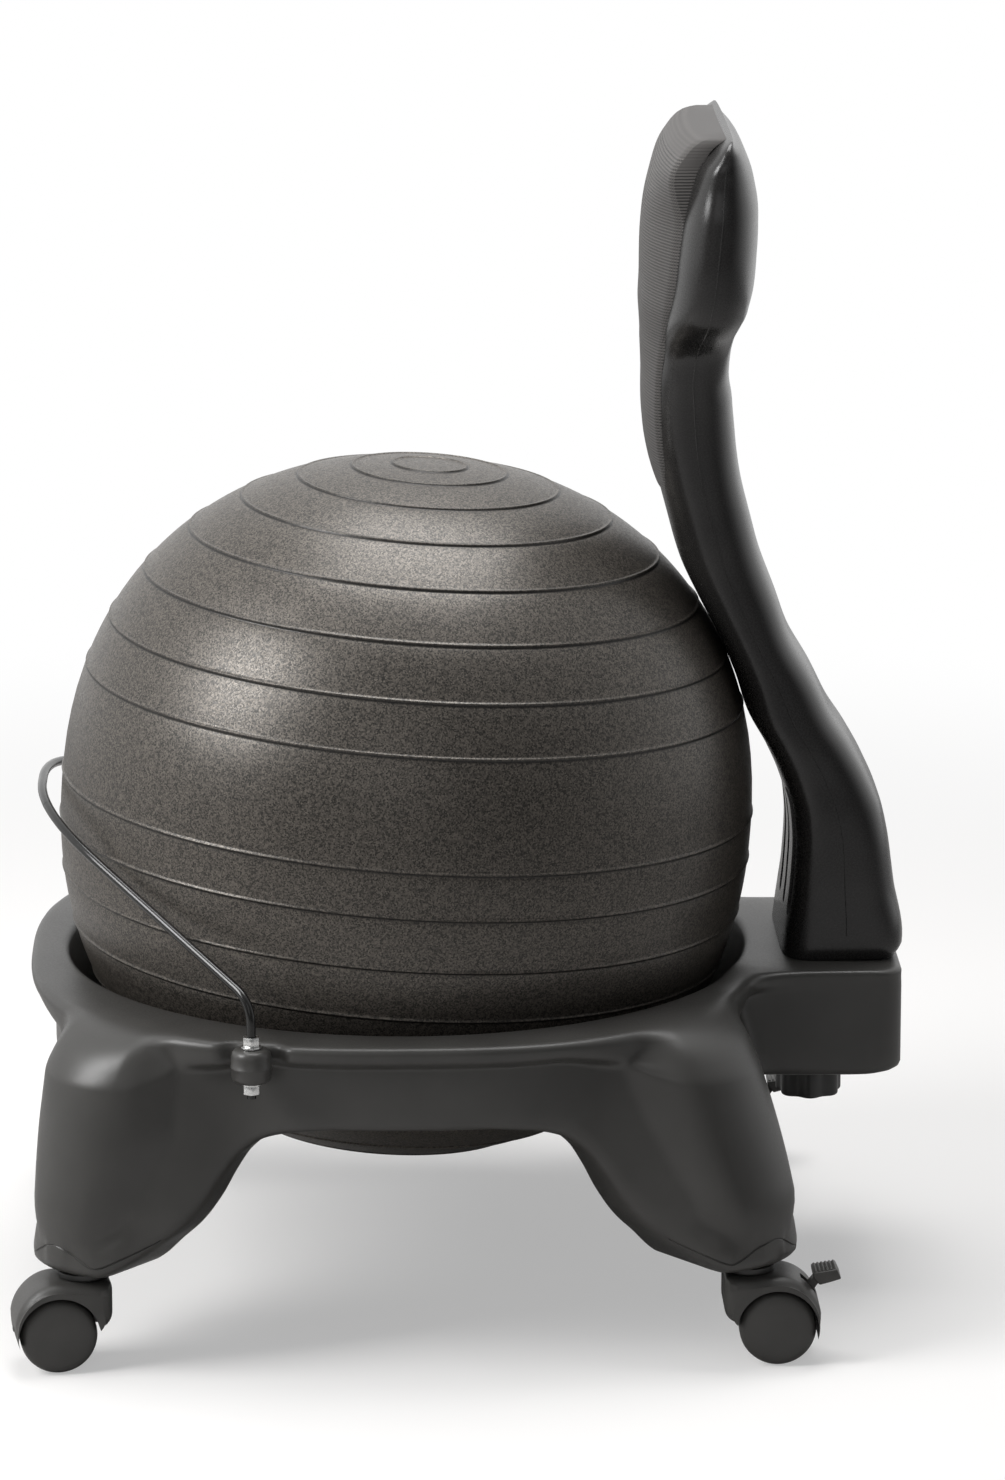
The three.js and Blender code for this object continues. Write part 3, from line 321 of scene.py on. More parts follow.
# The enamel's flow leaves waves 3 mm long and 0.03 mm deep
flow = noise(tree, at, 3 * MM, 2)
plug(tree, shader, {"Base Color": linear("#171716"), "Roughness": ranged(tree, flow, target=(0.14, 0.24)),
                    "Normal": bumped(tree, flow, 0.03 * MM, 0.5)})


def bare_metal(name, dark, light, roughness, grain):
    """Bare metal: a fine uneven tone and roughness."""
    material, tree, shader, at = finish_base(name)
    spots = noise(tree, at, grain, 3)
    plug(tree, shader, {"Base Color": two_tones(tree, spots, 0.35, dark, 0.65, light), "Metallic": 1,
                        "Roughness": ranged(tree, spots, target=(roughness - 0.06, roughness + 0.08))})
    return material


# Spots of 1.5 mm in the zinc and of 0.8 mm in the steel
zinc = bare_metal("bright_zinc_plate", "#c2c3c2", "#dedede", 0.26, 1.5 * MM)
steel = bare_metal("drawn_steel", "#8f8f8d", "#a9a9a6", 0.34, 0.8 * MM)
print("finishes", [m.name for m in bpy.data.materials][-8:])

# %% [markdown]
# ## Ways of modelling
# A few ways of making a shape are enough here: a flat outline is extruded, an outline is spun round
# an axis, a fine grid is wrapped round a row of rings, and a rod is drawn through points. Each starts
# from a primitive whose points are moved to the drawing, and is then joined, cut and rounded off.

# %% Start and end of a piece
def begin():
    """Nothing selected: an operator acts on all that is selected."""
    bpy.ops.object.select_all(action="DESELECT")


WELD = 0.002 * MM


def weld():
    """Make one point of points that coincide."""
    bpy.ops.mesh.remove_doubles(threshold=WELD)


def in_edit_mode(work):
    """Run the work in edit mode with everything selected, then clean the mesh."""
    bpy.ops.object.mode_set(mode="EDIT")
    bpy.ops.mesh.select_all(action="SELECT")
    work()
    bpy.ops.mesh.select_all(action="SELECT")
    weld()
    bpy.ops.mesh.normals_make_consistent(inside=False)
    bpy.ops.object.mode_set(mode="OBJECT")


def only(piece):
    """Select and activate one piece."""
    begin()
    piece.select_set(True)
    bpy.context.view_layer.objects.active = piece


def finished(piece, name, material, body, node, angle=35):
    """Name a piece, smooth it, give it its finish, and say what it rides on and stands for."""
    only(piece)
    piece.name = piece.data.name = name
    bpy.ops.object.transform_apply(location=True, rotation=True, scale=True)
    bpy.ops.object.shade_smooth_by_angle(angle=radians(angle))
    piece.data.materials.clear()
    piece.data.materials.append(material)
    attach(piece, body)
    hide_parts(node)
    print(name, len(piece.data.polygons), "faces")


# %% Extrude an outline
def extruded(outline, low, high, place):
    """Fill the outline of (u, v) points and extrude it from low to high; place(u, v, w) gives points."""
    begin()
    bpy.ops.mesh.primitive_circle_add(vertices=len(outline), radius=0.01, fill_type="NGON")
    piece = bpy.context.object
    for vertex, (u, v) in zip(piece.data.vertices, outline):
        vertex.co = place(u, v, low)
    step = place(0, 0, high) - place(0, 0, low)
    in_edit_mode(lambda: bpy.ops.mesh.extrude_region_move(TRANSFORM_OT_translate={"value": step}))
    return piece


# %% Spin an outline
def spun(outline, centre, along, steps):
    """Spin a closed outline of (radius, height) points round an axis that runs UP or LEFT."""
    begin()
    bpy.ops.mesh.primitive_circle_add(vertices=len(outline), radius=0.01, fill_type="NOTHING")
    piece = bpy.context.object
    out = LEFT if along == UP else UP
    for vertex, (radius, height) in zip(piece.data.vertices, outline):
        vertex.co = centre + out * radius * MM + along * height * MM
    in_edit_mode(lambda: bpy.ops.mesh.spin(steps=steps, angle=tau, center=centre, axis=along))
    return piece


def pin_outline(radius, low, high, edge=0.0, bore=0.0):
    """Half outline of a round pin with softened ends, and a bore if it has one."""
    cut = edge * 0.3
    return [(bore, low), (radius - edge, low), (radius - cut, low + cut), (radius, low + edge),
            (radius, high - edge), (radius - cut, high - cut), (radius - edge, high), (bore, high)]


# %% Wrap a grid round rings
def close_end(piece, end):
    """Fill the opening of a tube whose edge is one of its rings."""
    def fill():
        bpy.ops.mesh.select_all(action="DESELECT")
        bpy.ops.object.mode_set(mode="OBJECT")
        for vertex in piece.data.vertices:
            vertex.select = min((vertex.co - point).length for point in end) < WELD
        bpy.ops.object.mode_set(mode="EDIT")
        bpy.ops.mesh.fill()

    in_edit_mode(fill)


def wrapped(rings, meets_itself=False):
    """Wrap a grid round a row of rings of points. Its two ends meet, or else they are closed."""
    begin()
    rings = rings + rings[:1] if meets_itself else rings
    columns, rows = len(rings[0]), len(rings)
    bpy.ops.mesh.primitive_grid_add(x_subdivisions=columns, y_subdivisions=rows - 1, size=1)
    piece = bpy.context.object
    order = sorted(piece.data.vertices, key=lambda v: (round(v.co.y, 5), v.co.x))
    for count, vertex in enumerate(order):
        row, column = divmod(count, columns + 1)
        vertex.co = rings[row][column % columns]
    in_edit_mode(weld)
    if not meets_itself:
        close_end(piece, rings[0])
        close_end(piece, rings[-1])
    return piece


# %% Draw a rod through points
def rod_along(points, radius):
    """A thin round rod through points, with closed ends."""
    begin()
    bpy.ops.curve.primitive_nurbs_path_add()
    rod = bpy.context.object
    rod.data.splines.clear()
    line = rod.data.splines.new("POLY")
    line.points.add(len(points) - 1)
    for point, place in zip(line.points, points):
        point.co = (*place, 1)
    rod.data.bevel_depth, rod.data.bevel_resolution, rod.data.use_fill_caps = radius * MM, 1, True
    bpy.ops.object.convert(target="MESH")
    return bpy.context.object


# %% Join, cut and round off
def combined(piece, tool, operation):
    """Cut the tool away from the piece, or join it on, and delete the tool."""
    only(piece)
    change = piece.modifiers.new("change", "BOOLEAN")
    change.operation, change.object, change.solver = operation, tool, "EXACT"
    bpy.ops.object.modifier_apply(modifier="change")
    bpy.data.objects.remove(tool, do_unlink=True)
    return piece


def bored(piece, radius, low, high, centre, along, steps, edge=0.0):
    """Cut a round hole round an axis through the centre, from low to high."""
    return combined(piece, spun(pin_outline(radius, low, high, edge), centre, along, steps), "DIFFERENCE")


def rounded_off(piece, width, segments):
    """Bevel every edge that is sharper than 40 degrees."""
    only(piece)
    bevel = piece.modifiers.new("bevel", "BEVEL")
    bevel.width, bevel.segments, bevel.limit_method = width * MM, segments, "ANGLE"
    bevel.angle_limit = radians(40)
    bpy.ops.object.modifier_apply(modifier="bevel")
    return piece


def merged(pieces):
    """Several pieces as one mesh."""
    begin()
    for piece in pieces:
        piece.select_set(True)
    bpy.context.view_layer.objects.active = pieces[0]
    bpy.ops.object.join()
    return bpy.context.object


def copied(piece, matrix):
    """A copy with its own mesh, moved by the matrix."""
    twin = piece.copy()
    twin.data = piece.data.copy()
    bpy.context.collection.objects.link(twin)
    twin.data.transform(matrix)
    return twin


# %% [markdown]
# ## Small mathematics
# Outlines are read from tables, with a smooth curve through the rows so that no row shows as an edge.

# %% Shares, circles and smooth tables
def between(start, end, share):
    return start + (end - start) * share


def spread(start, end, steps):
    """Evenly spaced numbers, with the start and the end."""
    return [between(start, end, i / steps) for i in range(steps + 1)]


def eased(value, low, high):
    """0 up to low, 1 from high on, and a soft S between."""
    share = min(1, max(0, (value - low) / (high - low)))
    return share * share * (3 - 2 * share)


def polar(radius, angle):
    return radius * cos(angle), radius * sin(angle)


def on_circle(radius, angles, x=0, y=0):
    """Points of a circle round (x, y)."""
    return [(x + radius * cos(a), y + radius * sin(a)) for a in angles]


def read_smooth(table, at, column=1):
    """The column's value at a place, on a smooth curve through the table's rows."""
    if at <= table[0][0]:
        return table[0][column]
    if at >= table[-1][0]:
        return table[-1][column]
    row = max(i for i in range(len(table) - 1) if table[i][0] <= at)
    slopes = [(b[column] - a[column]) / (b[0] - a[0]) for a, b in zip(table, table[1:])]

    def tangent(i):
        if i == 0 or i == len(table) - 1:
            return slopes[0] if i == 0 else slopes[-1]
        if slopes[i - 1] * slopes[i] <= 0:
            return 0
        return 2 * slopes[i - 1] * slopes[i] / (slopes[i - 1] + slopes[i])

    low, high = table[row], table[row + 1]
    span = high[0] - low[0]
    t = (at - low[0]) / span
    return ((2 * t ** 3 - 3 * t ** 2 + 1) * low[column] + (t ** 3 - 2 * t ** 2 + t) * span * tangent(row)
            + (3 * t ** 2 - 2 * t ** 3) * high[column] + (t ** 3 - t ** 2) * span * tangent(row + 1))


# %% [markdown]
# ## Ball
# The ball is one rotation-moulded skin with raised ribs round it, like lines of latitude. A UV sphere
# has exactly these rings, so it is the start: each ring is moved to the latitude where it is needed,
# many at a rib and few between. The ball leans back 4 degrees, which the ribs show.

# %% Ball with ribs
RIB_LATITUDES = [-84, -76, -67, -58, -49, -40, -31, -22, -13.1, -4.3, 3.2, 21.4, 30, 39.5, 49.3, 59, 68.6,
                 77.4, 84]
RIB_STEPS = [-4, -2.6, -1.8, -1.2, -0.7, -0.3, 0, 0.3, 0.7, 1.2, 1.8, 2.6, 4]
LAST_LATITUDE, BALL_LEAN = 87.5, 4


def ball_point(latitude, proud):
    """(radius, height) of the ball's skin at a latitude, in millimetres from its middle."""
    across, rise = cos(radians(latitude)), sin(radians(latitude))
    nearness = (across / BALL_RADIUS) ** BALL_POWER + (abs(rise) / BALL_HALF) ** BALL_POWER
    reach = nearness ** (-1 / BALL_POWER) + proud
    return across * reach, rise * reach


def rib_height(offset):
    """A round bead, with a faint groove below it where the mould's rib pressed the skin in."""
    bead = 0.9 * exp(-(offset / 0.9) ** 2)
    return bead - 0.35 * exp(-(offset + 1.8) ** 2)


def painted_shade_share(offset):
    """How much painted shade darkens the skin beside a rib."""
    return exp(-((offset + 1.2) / 0.8) ** 2)


ball_rows = [(-LAST_LATITUDE, 0, 0), (LAST_LATITUDE, 0, 0)]
per_mm = degrees(1 / BALL_HALF)
for latitude in RIB_LATITUDES:
    ball_rows += [(latitude + step * per_mm, rib_height(step), painted_shade_share(step)) for step in RIB_STEPS]
for latitude, following in zip(RIB_LATITUDES, RIB_LATITUDES[1:]):
    ball_rows += [(between(latitude, following, share), 0, 0) for share in (0.3, 0.5, 0.7)]
ball_rows.sort()
begin()
bpy.ops.mesh.primitive_uv_sphere_add(segments=176, ring_count=len(ball_rows) + 1, radius=0.2)
ball = bpy.context.object
levels = sorted({round(v.co.z, 7) for v in ball.data.vertices})
level_of = {z: i for i, z in enumerate(levels)}
# Each point stores how much painted shade darkens it beside a rib.
painted_shade_by_rib = ball.data.attributes.new("painted_shade_by_rib", "FLOAT", "POINT")
for vertex in ball.data.vertices:
    level = level_of[round(vertex.co.z, 7)]
    if level in (0, len(levels) - 1):
        vertex.co = (0, 0, (BALL_HALF if level else -BALL_HALF) * MM)
        continue
    latitude, proud, painted_shade_by_rib.data[vertex.index].value = ball_rows[level - 1]
    radius, height = ball_point(latitude, proud)
    vertex.co = Vector((*polar(radius, atan2(vertex.co.y, vertex.co.x)), height)) * MM
ball.data.transform(Matrix.Translation(ball_middle) @ Matrix.Rotation(radians(-BALL_LEAN), 4, "X"))
finished(ball, "vinyl_ball", ball_vinyl, "ball", "ball", 60)

# %% [markdown]
# ## Seat base
# The ring, its four legs and the tail under the back support are one hollow blow-moulding, so every
# form runs softly into the next. No stack of simple solids gives that. So a fine grid is rolled into
# a tube whose ends meet, and each of its rows is laid on the loop that the base shows when it is cut
# by an upright plane through the ball's axis.

# %% Outlines of the base, seen from above
# Heights: rim, top of the tail, top of the apron, underside of the ring, bottom of the legs
RIM, TAIL_TOP, APRON_TOP, UNDERSIDE, LEG_BOTTOM, FOOT_ROUNDING = 224, 226.6, 205, 155, 65, 12
# Distances from the axis: bowl's mouth, lip, apron, and the legs at their top and low down
BOWL_RADIUS, LIP_SIDE, LIP_FRONT, APRON_SIDE, APRON_FRONT = 228, 257, 252, 247, 236
LEG_HIGH, LEG_LOW, REAR_LEG_HIGH, REAR_LEG_LOW, LEG_CORNER = 236, 248.5, 221, 253, 60
LIP_REAR_RATIO = 218 / 236
TAIL_HALF, TAIL_REACH, TAIL_CORNER = 95, 327, 18
BOSS_X, BOSS_Y = 252, -103
# How far the lower edge has dropped from the arch to the foot, by the leg's share
ARCH_DROP = [(0.27, 0), (0.4, 0.03), (0.5, 0.08), (0.575, 0.19), (0.63, 0.36), (0.67, 0.52), (0.73, 0.7),
             (0.79, 0.82), (0.85, 0.94), (0.89, 1)]


def soft_square(angle, side, front, power=2.6):
    across, along = abs(cos(angle)) / side, abs(sin(angle)) / front
    return (across ** power + along ** power) ** (-1 / power)


def box_radius(angle, half_x, half_y, corner):
    """Distance to the outline of a box with round corners, along an angle."""
    across, along = abs(cos(angle)), abs(sin(angle))
    flat = min(half_x / max(across, 1e-9), half_y / max(along, 1e-9))
    core_x, core_y = half_x - corner, half_y - corner
    if across * flat <= core_x or along * flat <= core_y:
        return flat
    middle = core_x * across + core_y * along
    return middle + sqrt(max(0, middle ** 2 - (core_x ** 2 + core_y ** 2 - corner ** 2)))


def leg_share(angle):
    """0 in the middle of a side, 1 in the middle of a leg."""
    turned = angle % (pi / 2)
    return 1 - abs(turned / (pi / 4) - 1)


def tail_share(angle):
    return 1 - eased(abs(angle - pi / 2), radians(19), radians(30))


def tail_radius(angle):
    return box_radius(angle, TAIL_HALF, TAIL_REACH, TAIL_CORNER) if sin(angle) > 0 else 0


def drawn_in(angle, ratio):
    """The rear half of an outline is drawn in: the angle to read it at, and the stretch of the radius."""
    if sin(angle) <= 0:
        return angle, 1
    turned = atan2(sin(angle) / ratio, cos(angle))
    return turned, hypot(cos(turned), ratio * sin(turned))


def farthest(first, second, power):
    """The greater of two distances; the lower the power, the rounder the corner between them."""
    return (first ** power + second ** power) ** (1 / power)


# %% [markdown]
# Each leg has a raised pillar at its corner, shaped like a tongue that hangs from the ring: it slopes
# to the smooth apron, meets it in a crease, and its round end fades out above the foot. The ring's
# lip is a thick round flange. It gets deeper towards the pillar and steps back round each boss.

# %% Pillar, wall and lip
# The pillar's half width in degrees, by how far down the wall; the front ones are narrower on top
PILLAR_EDGE = [(0, 15), (0.094, 14), (0.24, 12.8), (0.47, 10.4), (0.67, 8.2), (0.86, 6.2), (0.93, 3.2),
               (0.97, 0.2)]
FRONT_PILLAR_EDGE, PILLAR_PROUD = 11.5, 10


def pillar_share(angle, fall):
    """1 on the middle of the pillar, 0 from its crease on."""
    from_leg = degrees((1 - leg_share(angle)) * pi / 4)
    edge = read_smooth(PILLAR_EDGE, fall)
    if sin(angle) < 0:
        edge = min(edge, FRONT_PILLAR_EDGE)
    share = min(1, max(0, (from_leg / edge - 0.5) / 0.5))
    return 1 - share ** 1.7


def wall_radius(angle, fall):
    """The wall's outline, part of the way down: 0 is the top of the apron, 1 the foot."""
    flare = min(1, fall / 0.75)
    half = between(LEG_HIGH, LEG_LOW, flare)
    turned, stretch = drawn_in(angle, between(REAR_LEG_HIGH, REAR_LEG_LOW, flare) / half)
    apron = soft_square(turned, APRON_SIDE, APRON_FRONT if sin(angle) < 0 else APRON_SIDE)
    step = PILLAR_PROUD * (1 - pillar_share(angle, fall)) * (1 - eased(fall, 0.82, 1))
    leg = box_radius(turned, half, half, LEG_CORNER) - step
    return farthest(between(apron, leg, eased(leg_share(angle), 0.3, 0.75)) * stretch, tail_radius(angle), 26)


def notch_share(x, y):
    """1 beside a boss, 0 away from it."""
    return 1 - eased(abs(y - BOSS_Y), 13, 25) if abs(x) > 200 else 0


def fall_at(height):
    """0 at the top of the apron, 1 at the top of the foot's rounding."""
    return min(1, max(0, (APRON_TOP - height) / (APRON_TOP - LEG_BOTTOM - FOOT_ROUNDING)))


def lip_radius(angle):
    turned, stretch = drawn_in(angle, LIP_REAR_RATIO)
    lip = soft_square(turned, LIP_SIDE, LIP_FRONT) * stretch
    lip -= 6.5 * notch_share(*polar(lip, angle))
    return farthest(lip, tail_radius(angle), 15)


def base_bottom(angle):
    lead = 0.01 * max(0, sin(angle))
    drop = read_smooth(ARCH_DROP, leg_share(angle) + lead)
    return between(between(164, LEG_BOTTOM, drop), 153, tail_share(angle))


# %% One section of the base
def softened(corners, steps=5):
    """A closed outline with its corners rounded: rows are radius, height and how far a corner is cut."""
    outline = []
    count = len(corners)
    for i, (radius, height, cut) in enumerate(corners):
        here = Vector((radius, height))
        if cut == 0:
            outline.append(here)
            continue
        back = Vector(corners[i - 1][:2]) - here
        ahead = Vector(corners[(i + 1) % count][:2]) - here
        start = here + back.normalized() * min(cut, 0.47 * back.length)
        end = here + ahead.normalized() * min(cut, 0.47 * ahead.length)
        for step in range(steps + 1):
            t = step / steps
            outline.append(start * (1 - t) ** 2 + here * 2 * t * (1 - t) + end * t * t)
    return outline


WALL_SHARES = [0.07, 0.14, 0.21, 0.28, 0.35, 0.42, 0.49, 0.56, 0.63, 0.7, 0.76, 0.82, 0.88, 0.94]


def base_section(angle):
    """The closed loop that an upright plane through the ball's axis cuts out of the base."""
    bottom, tail = base_bottom(angle), tail_share(angle)
    leg = pillar_share(angle, 0.24) * (1 - tail)
    inside = eased(leg_share(angle), 0.5, 0.85)
    inward = drawn_in(angle, LIP_REAR_RATIO)[1]
    top = between(RIM, TAIL_TOP, tail)
    flange = between(11, 17, eased(leg_share(angle), 0.45, 0.7)) * (1 - tail) + 8 * tail
    apron_top = top - between(flange + 6, 31, leg)
    lip, wall_top = lip_radius(angle), wall_radius(angle, fall_at(apron_top))
    foot_top, foot = bottom + FOOT_ROUNDING, between(6, 14, leg) + tail * 14
    inner_low = between(231, 252, inside) * inward
    inner_top = between(215, 236, inside) * inward
    # The bowl's lower edge keeps 1.3 mm of air to the ball
    bowl_low = UNDERSIDE + 4
    below = (BALL_HEIGHT - bowl_low) / BALL_HALF
    bowl_edge = BALL_RADIUS * (1 - below ** BALL_POWER) ** (1 / BALL_POWER) + 1.3
    # From the bowl's mouth over the lip and down the wall
    corners = [
        (BOWL_RADIUS, top, 4),
        (lip, top - 0.8, between(8, 12, max(leg, tail))),
        (between(lip - 0.4, wall_top, 0.62 * leg), top - between(flange, 13, leg), between(4.5, 18, leg)),
        (wall_top, apron_top, between(6, 20, leg))]
    wall_heights = [between(apron_top, foot_top, share) for share in WALL_SHARES]
    corners += [(wall_radius(angle, fall_at(height)), height, 0) for height in wall_heights]
    # Round the foot, up its inside, along the underside and up the bowl, which bows out by 5 mm
    corners += [
        (wall_radius(angle, fall_at(foot_top)), bottom, foot + 6),
        (inner_low, bottom, 6),
        (inner_top, between(bottom, UNDERSIDE, 0.9), 8),
        (inner_top - 16, UNDERSIDE, 5),
        (bowl_edge, UNDERSIDE, 1.6),
        (bowl_edge, bowl_low, 1.2)]
    for share in [row / 10 for row in range(1, 10)]:
        bow = 5 * 4 * share * (1 - share)
        corners.append((between(bowl_edge, BOWL_RADIUS, share) + bow, between(bowl_low, top, share), 0))
    return softened(corners)


def on_section(angle, point):
    """The place of a section's (radius, height) point."""
    return placed(*polar(point.x, angle), point.y)


# %% [markdown]
# The sections are spaced evenly along the outline, not by angle, so that the tail and the pillars
# get as many as they need.

# %% Wrap the base
SECTION_SPACING = 3.0
fine_angles = [tau * i / 7200 for i in range(7201)]
walk = [0.0]
for before, after in zip(fine_angles, fine_angles[1:]):
    walk.append(walk[-1] + max(
        dist(polar(radius_at(before), before), polar(radius_at(after), after))
        for radius_at in (lip_radius, lambda a: wall_radius(a, 0.4), lambda a: wall_radius(a, 0.85))))
stations, i = [], 0
section_count = int(walk[-1] / SECTION_SPACING)
for n in range(section_count):
    goal = walk[-1] * n / section_count
    while walk[i + 1] < goal:
        i += 1
    share = (goal - walk[i]) / (walk[i + 1] - walk[i])
    stations.append(between(fine_angles[i], fine_angles[i + 1], share))
sections = [[on_section(angle, point) for point in base_section(angle)] for angle in stations]
seat_base = wrapped(sections, True)
print("base sections", len(sections), "of", len(sections[0]), "points")

# %% [markdown]
# The mould's halves met in a line low on the legs. It shows as a fine wavy groove round each foot: a
# thin rod is laid along the line on the sections' own points and cut away.

# %% Groove of the mould's parting line
GROOVE_FROM, GROOVE_RADIUS = 0.76, 0.8


def parting_point(angle, outline):
    """Where the line crosses a section: close to the arch's edge, higher round the leg's corner."""
    share = leg_share(angle)
    goal = base_bottom(angle) + 3 + 4 * eased(share, GROOVE_FROM, 0.86) + 14 * eased(share, 0.86, 1)
    for high, low in zip(outline, outline[1:]):
        if high.y >= goal > low.y:
            return high.lerp(low, (high.y - goal) / (high.y - low.y))


grooves = []
for quarter in range(4):
    near_leg = [a for a in stations if leg_share(a) > GROOVE_FROM and int(a / (pi / 2)) == quarter]
    line = [on_section(angle, parting_point(angle, base_section(angle))) for angle in near_leg]
    grooves.append(rod_along(line, GROOVE_RADIUS))
combined(seat_base, merged(grooves), "DIFFERENCE")
print("base faces", len(seat_base.data.polygons))

# %% [markdown]
# Two bosses carry the bar's ends. Both are turned shapes, joined on where the lip steps back.

# %% Bosses of the bar
boss_outline = [(0, 201), (9, 201), (11.6, 202), (12.8, 204.6), (12.9, 210.3), (13.3, 210.7), (13.3, 211.5),
                (12.9, 211.9), (12.8, 218), (12.2, 220.6), (10.8, 222.3), (8.5, 223), (0, 223)]
bosses = merged([spun(boss_outline, placed(side * BOSS_X, BOSS_Y, 0), UP, 48) for side in (1, -1)])
combined(seat_base, bosses, "UNION")
finished(seat_base, "moulded_seat_base", base_plastic, "base", "seat_base", 50)

# %% [markdown]
# ## Back support
# The back support is a second blow-moulding: a column with an S-shaped side, slots low on its front,
# a neck and a wide head. Its sections are ovals with flattened sides, so a grid is wrapped round
# a row of them. The mould's halves met along both sides, which left a fine raised line.

# %% Sections of the back support
# The foot's height above the floor and the column's own; the front at the foot and how far a front
# of 1 leans forward of it; full depth and half width
BACK_FOOT, BACK_HEIGHT, BACK_FRONT, BACK_LEAN, BACK_DEPTH, BACK_HALF = 226.9, 551, 249, 90, 73, 70
# Rows: share of the height, then front, depth and half width as shares, and squareness
BACK_TABLE = [
    (0, 0, 1.05, 1, 6), (0.013, -0.01, 1.1, 1.02, 6), (0.085, -0.06, 0.96, 1.02, 5),
    (0.134, -0.074, 0.895, 1.01, 4.6), (0.173, -0.055, 0.86, 1, 4.2), (0.215, 0.019, 0.82, 0.98, 4),
    (0.253, 0.122, 0.79, 0.97, 3.8), (0.2925, 0.256, 0.765, 0.95, 3.6), (0.332, 0.334, 0.715, 0.93, 3.4),
    (0.382, 0.464, 0.66, 0.91, 3.2), (0.4315, 0.62, 0.715, 0.89, 3.2), (0.48, 0.757, 0.745, 0.88, 3.2),
    (0.53, 0.845, 0.748, 0.88, 3.2), (0.58, 0.922, 0.75, 0.89, 3.2), (0.634, 0.978, 0.765, 0.91, 3.2),
    (0.672, 0.991, 0.755, 0.93, 3.2), (0.706, 0.986, 0.715, 0.96, 3.2), (0.735, 0.967, 0.71, 1, 3.1),
    (0.752, 0.952, 0.72, 1.1, 3), (0.768, 0.942, 0.755, 1.3, 2.9), (0.787, 0.934, 0.81, 1.44, 2.8),
    (0.818, 0.905, 0.825, 1.5, 2.8), (0.863, 0.872, 0.81, 1.53, 2.8), (0.9055, 0.831, 0.765, 1.53, 2.8),
    (0.948, 0.762, 0.63, 1.49, 2.8), (0.968, 0.7, 0.5, 1.5, 2.9), (0.982, 0.62, 0.35, 1.47, 2.9),
    (0.993, 0.54, 0.17, 1.42, 3), (1, 0.47, 0.05, 1.32, 3)]


def back_station(share):
    """Height, front, depth, half width and squareness of the support at a share of its height."""
    front, depth, half, power = [read_smooth(BACK_TABLE, share, column) for column in (1, 2, 3, 4)]
    return (BACK_FOOT + share * BACK_HEIGHT, BACK_FRONT - front * BACK_LEAN, depth * BACK_DEPTH,
            half * BACK_HALF, power)


def back_ring(share, count=96):
    height, front, depth, half, power = back_station(share)
    ring = []
    for step in range(count):
        across, along = polar(1, (step + 0.5) / count * tau)
        x = half * copysign(abs(across) ** (2 / power), across)
        y = depth / 2 * copysign(abs(along) ** (2 / power), along)
        ring.append(placed(x, front + depth / 2 + y, height))
    return ring


back_rows = sorted({*spread(0, 1, 150), 0.003, 0.975, 0.985, 0.99, 0.9965})
back_support = wrapped([back_ring(share) for share in back_rows])

# %% Slots low on its front
SLOT_WIDTH, SLOT_PITCH, SLOT_DEPTH = 12, 31, 13.5


def slot_outline(x, low, high):
    """An upright slot with round ends."""
    half = SLOT_WIDTH / 2
    return (on_circle(half, spread(pi, tau, 10), x, low + half)
            + on_circle(half, spread(0, pi, 10), x, high - half))


slot_low, slot_high, slot_front = back_station(0.045)[0], *back_station(0.205)[:2]
slots = merged([extruded(slot_outline((n - 1.5) * SLOT_PITCH, slot_low, slot_high), 200,
                         slot_front + SLOT_DEPTH, lambda u, v, w: placed(u, w, v)) for n in range(4)])
combined(back_support, slots, "DIFFERENCE")
print("back support faces", len(back_support.data.polygons))

# %% Raised line down both its sides
for side in (1, -1):
    edge_line = []
    for share in spread(0.03, 0.97, 119):
        height, front, depth, half, _ = back_station(share)
        edge_line.append(placed(side * (half - 0.1), front + depth / 2, height))
    combined(back_support, rod_along(edge_line, 0.5), "UNION")
finished(back_support, "moulded_back_support", back_plastic, "base", "back_support", 50)

# %% [markdown]
# ## Pad
# The pad is thin foam in a knitted cover, glued on the front of the head and the neck. It is crowned
# in the middle and pulls in along its sides and its top.

# %% Pad
# Rows: share of the support's height, then the crown and the half width as shares
PAD_TABLE = [
    (0.56, 0, 0.42), (0.568, 0.1, 0.54), (0.6, 0.22, 0.63), (0.64, 0.25, 0.67), (0.7, 0.28, 0.7),
    (0.745, 0.5, 0.74), (0.775, 0.66, 0.86), (0.8, 0.76, 0.95), (0.84, 0.92, 1), (0.88, 1.05, 1),
    (0.92, 1.12, 1), (0.95, 1.1, 0.995), (0.97, 1.14, 0.99), (0.985, 1.32, 0.98), (0.993, 1.38, 0.97),
    (0.997, 1.3, 0.955), (0.999, 1.15, 0.93)]
PAD_HALF, PAD_CROWN, PAD_BED = 80, 16, 14


def pad_ring(share, count=56):
    """One ring: the crowned front with its tucked edges, and the back, bedded in the support."""
    height, front, *_ = back_station(share)
    crown, half = read_smooth(PAD_TABLE, share, 1), PAD_HALF * read_smooth(PAD_TABLE, share, 2)
    middle = front - crown * PAD_CROWN
    depth = PAD_CROWN * (crown + 0.2) * (1 - 0.75 * eased(share, 0.89, 0.965))
    bed = PAD_BED * (1 - 0.95 * eased(share, 0.94, 0.99))
    ring = []
    for step in range(count + 1):
        across = -cos(pi * step / count)
        fall = abs(across) ** 2.4 * depth
        tuck = max(0, abs(across) - 0.93) / 0.07
        ring.append(placed(across * half, middle + fall + 2.5 * tuck ** 2, height))
    return ring + [placed(across * half, front + bed, height) for across in (1, 0.5, 0, -0.5, -1)]


pad_rows = sorted({*spread(0.56, 0.999, 116), 0.563, 0.566, 0.997, 0.998})
pad = wrapped([pad_ring(share) for share in pad_rows])
finished(pad, "knitted_back_pad", pad_knit, "base", "back_pad", 60)

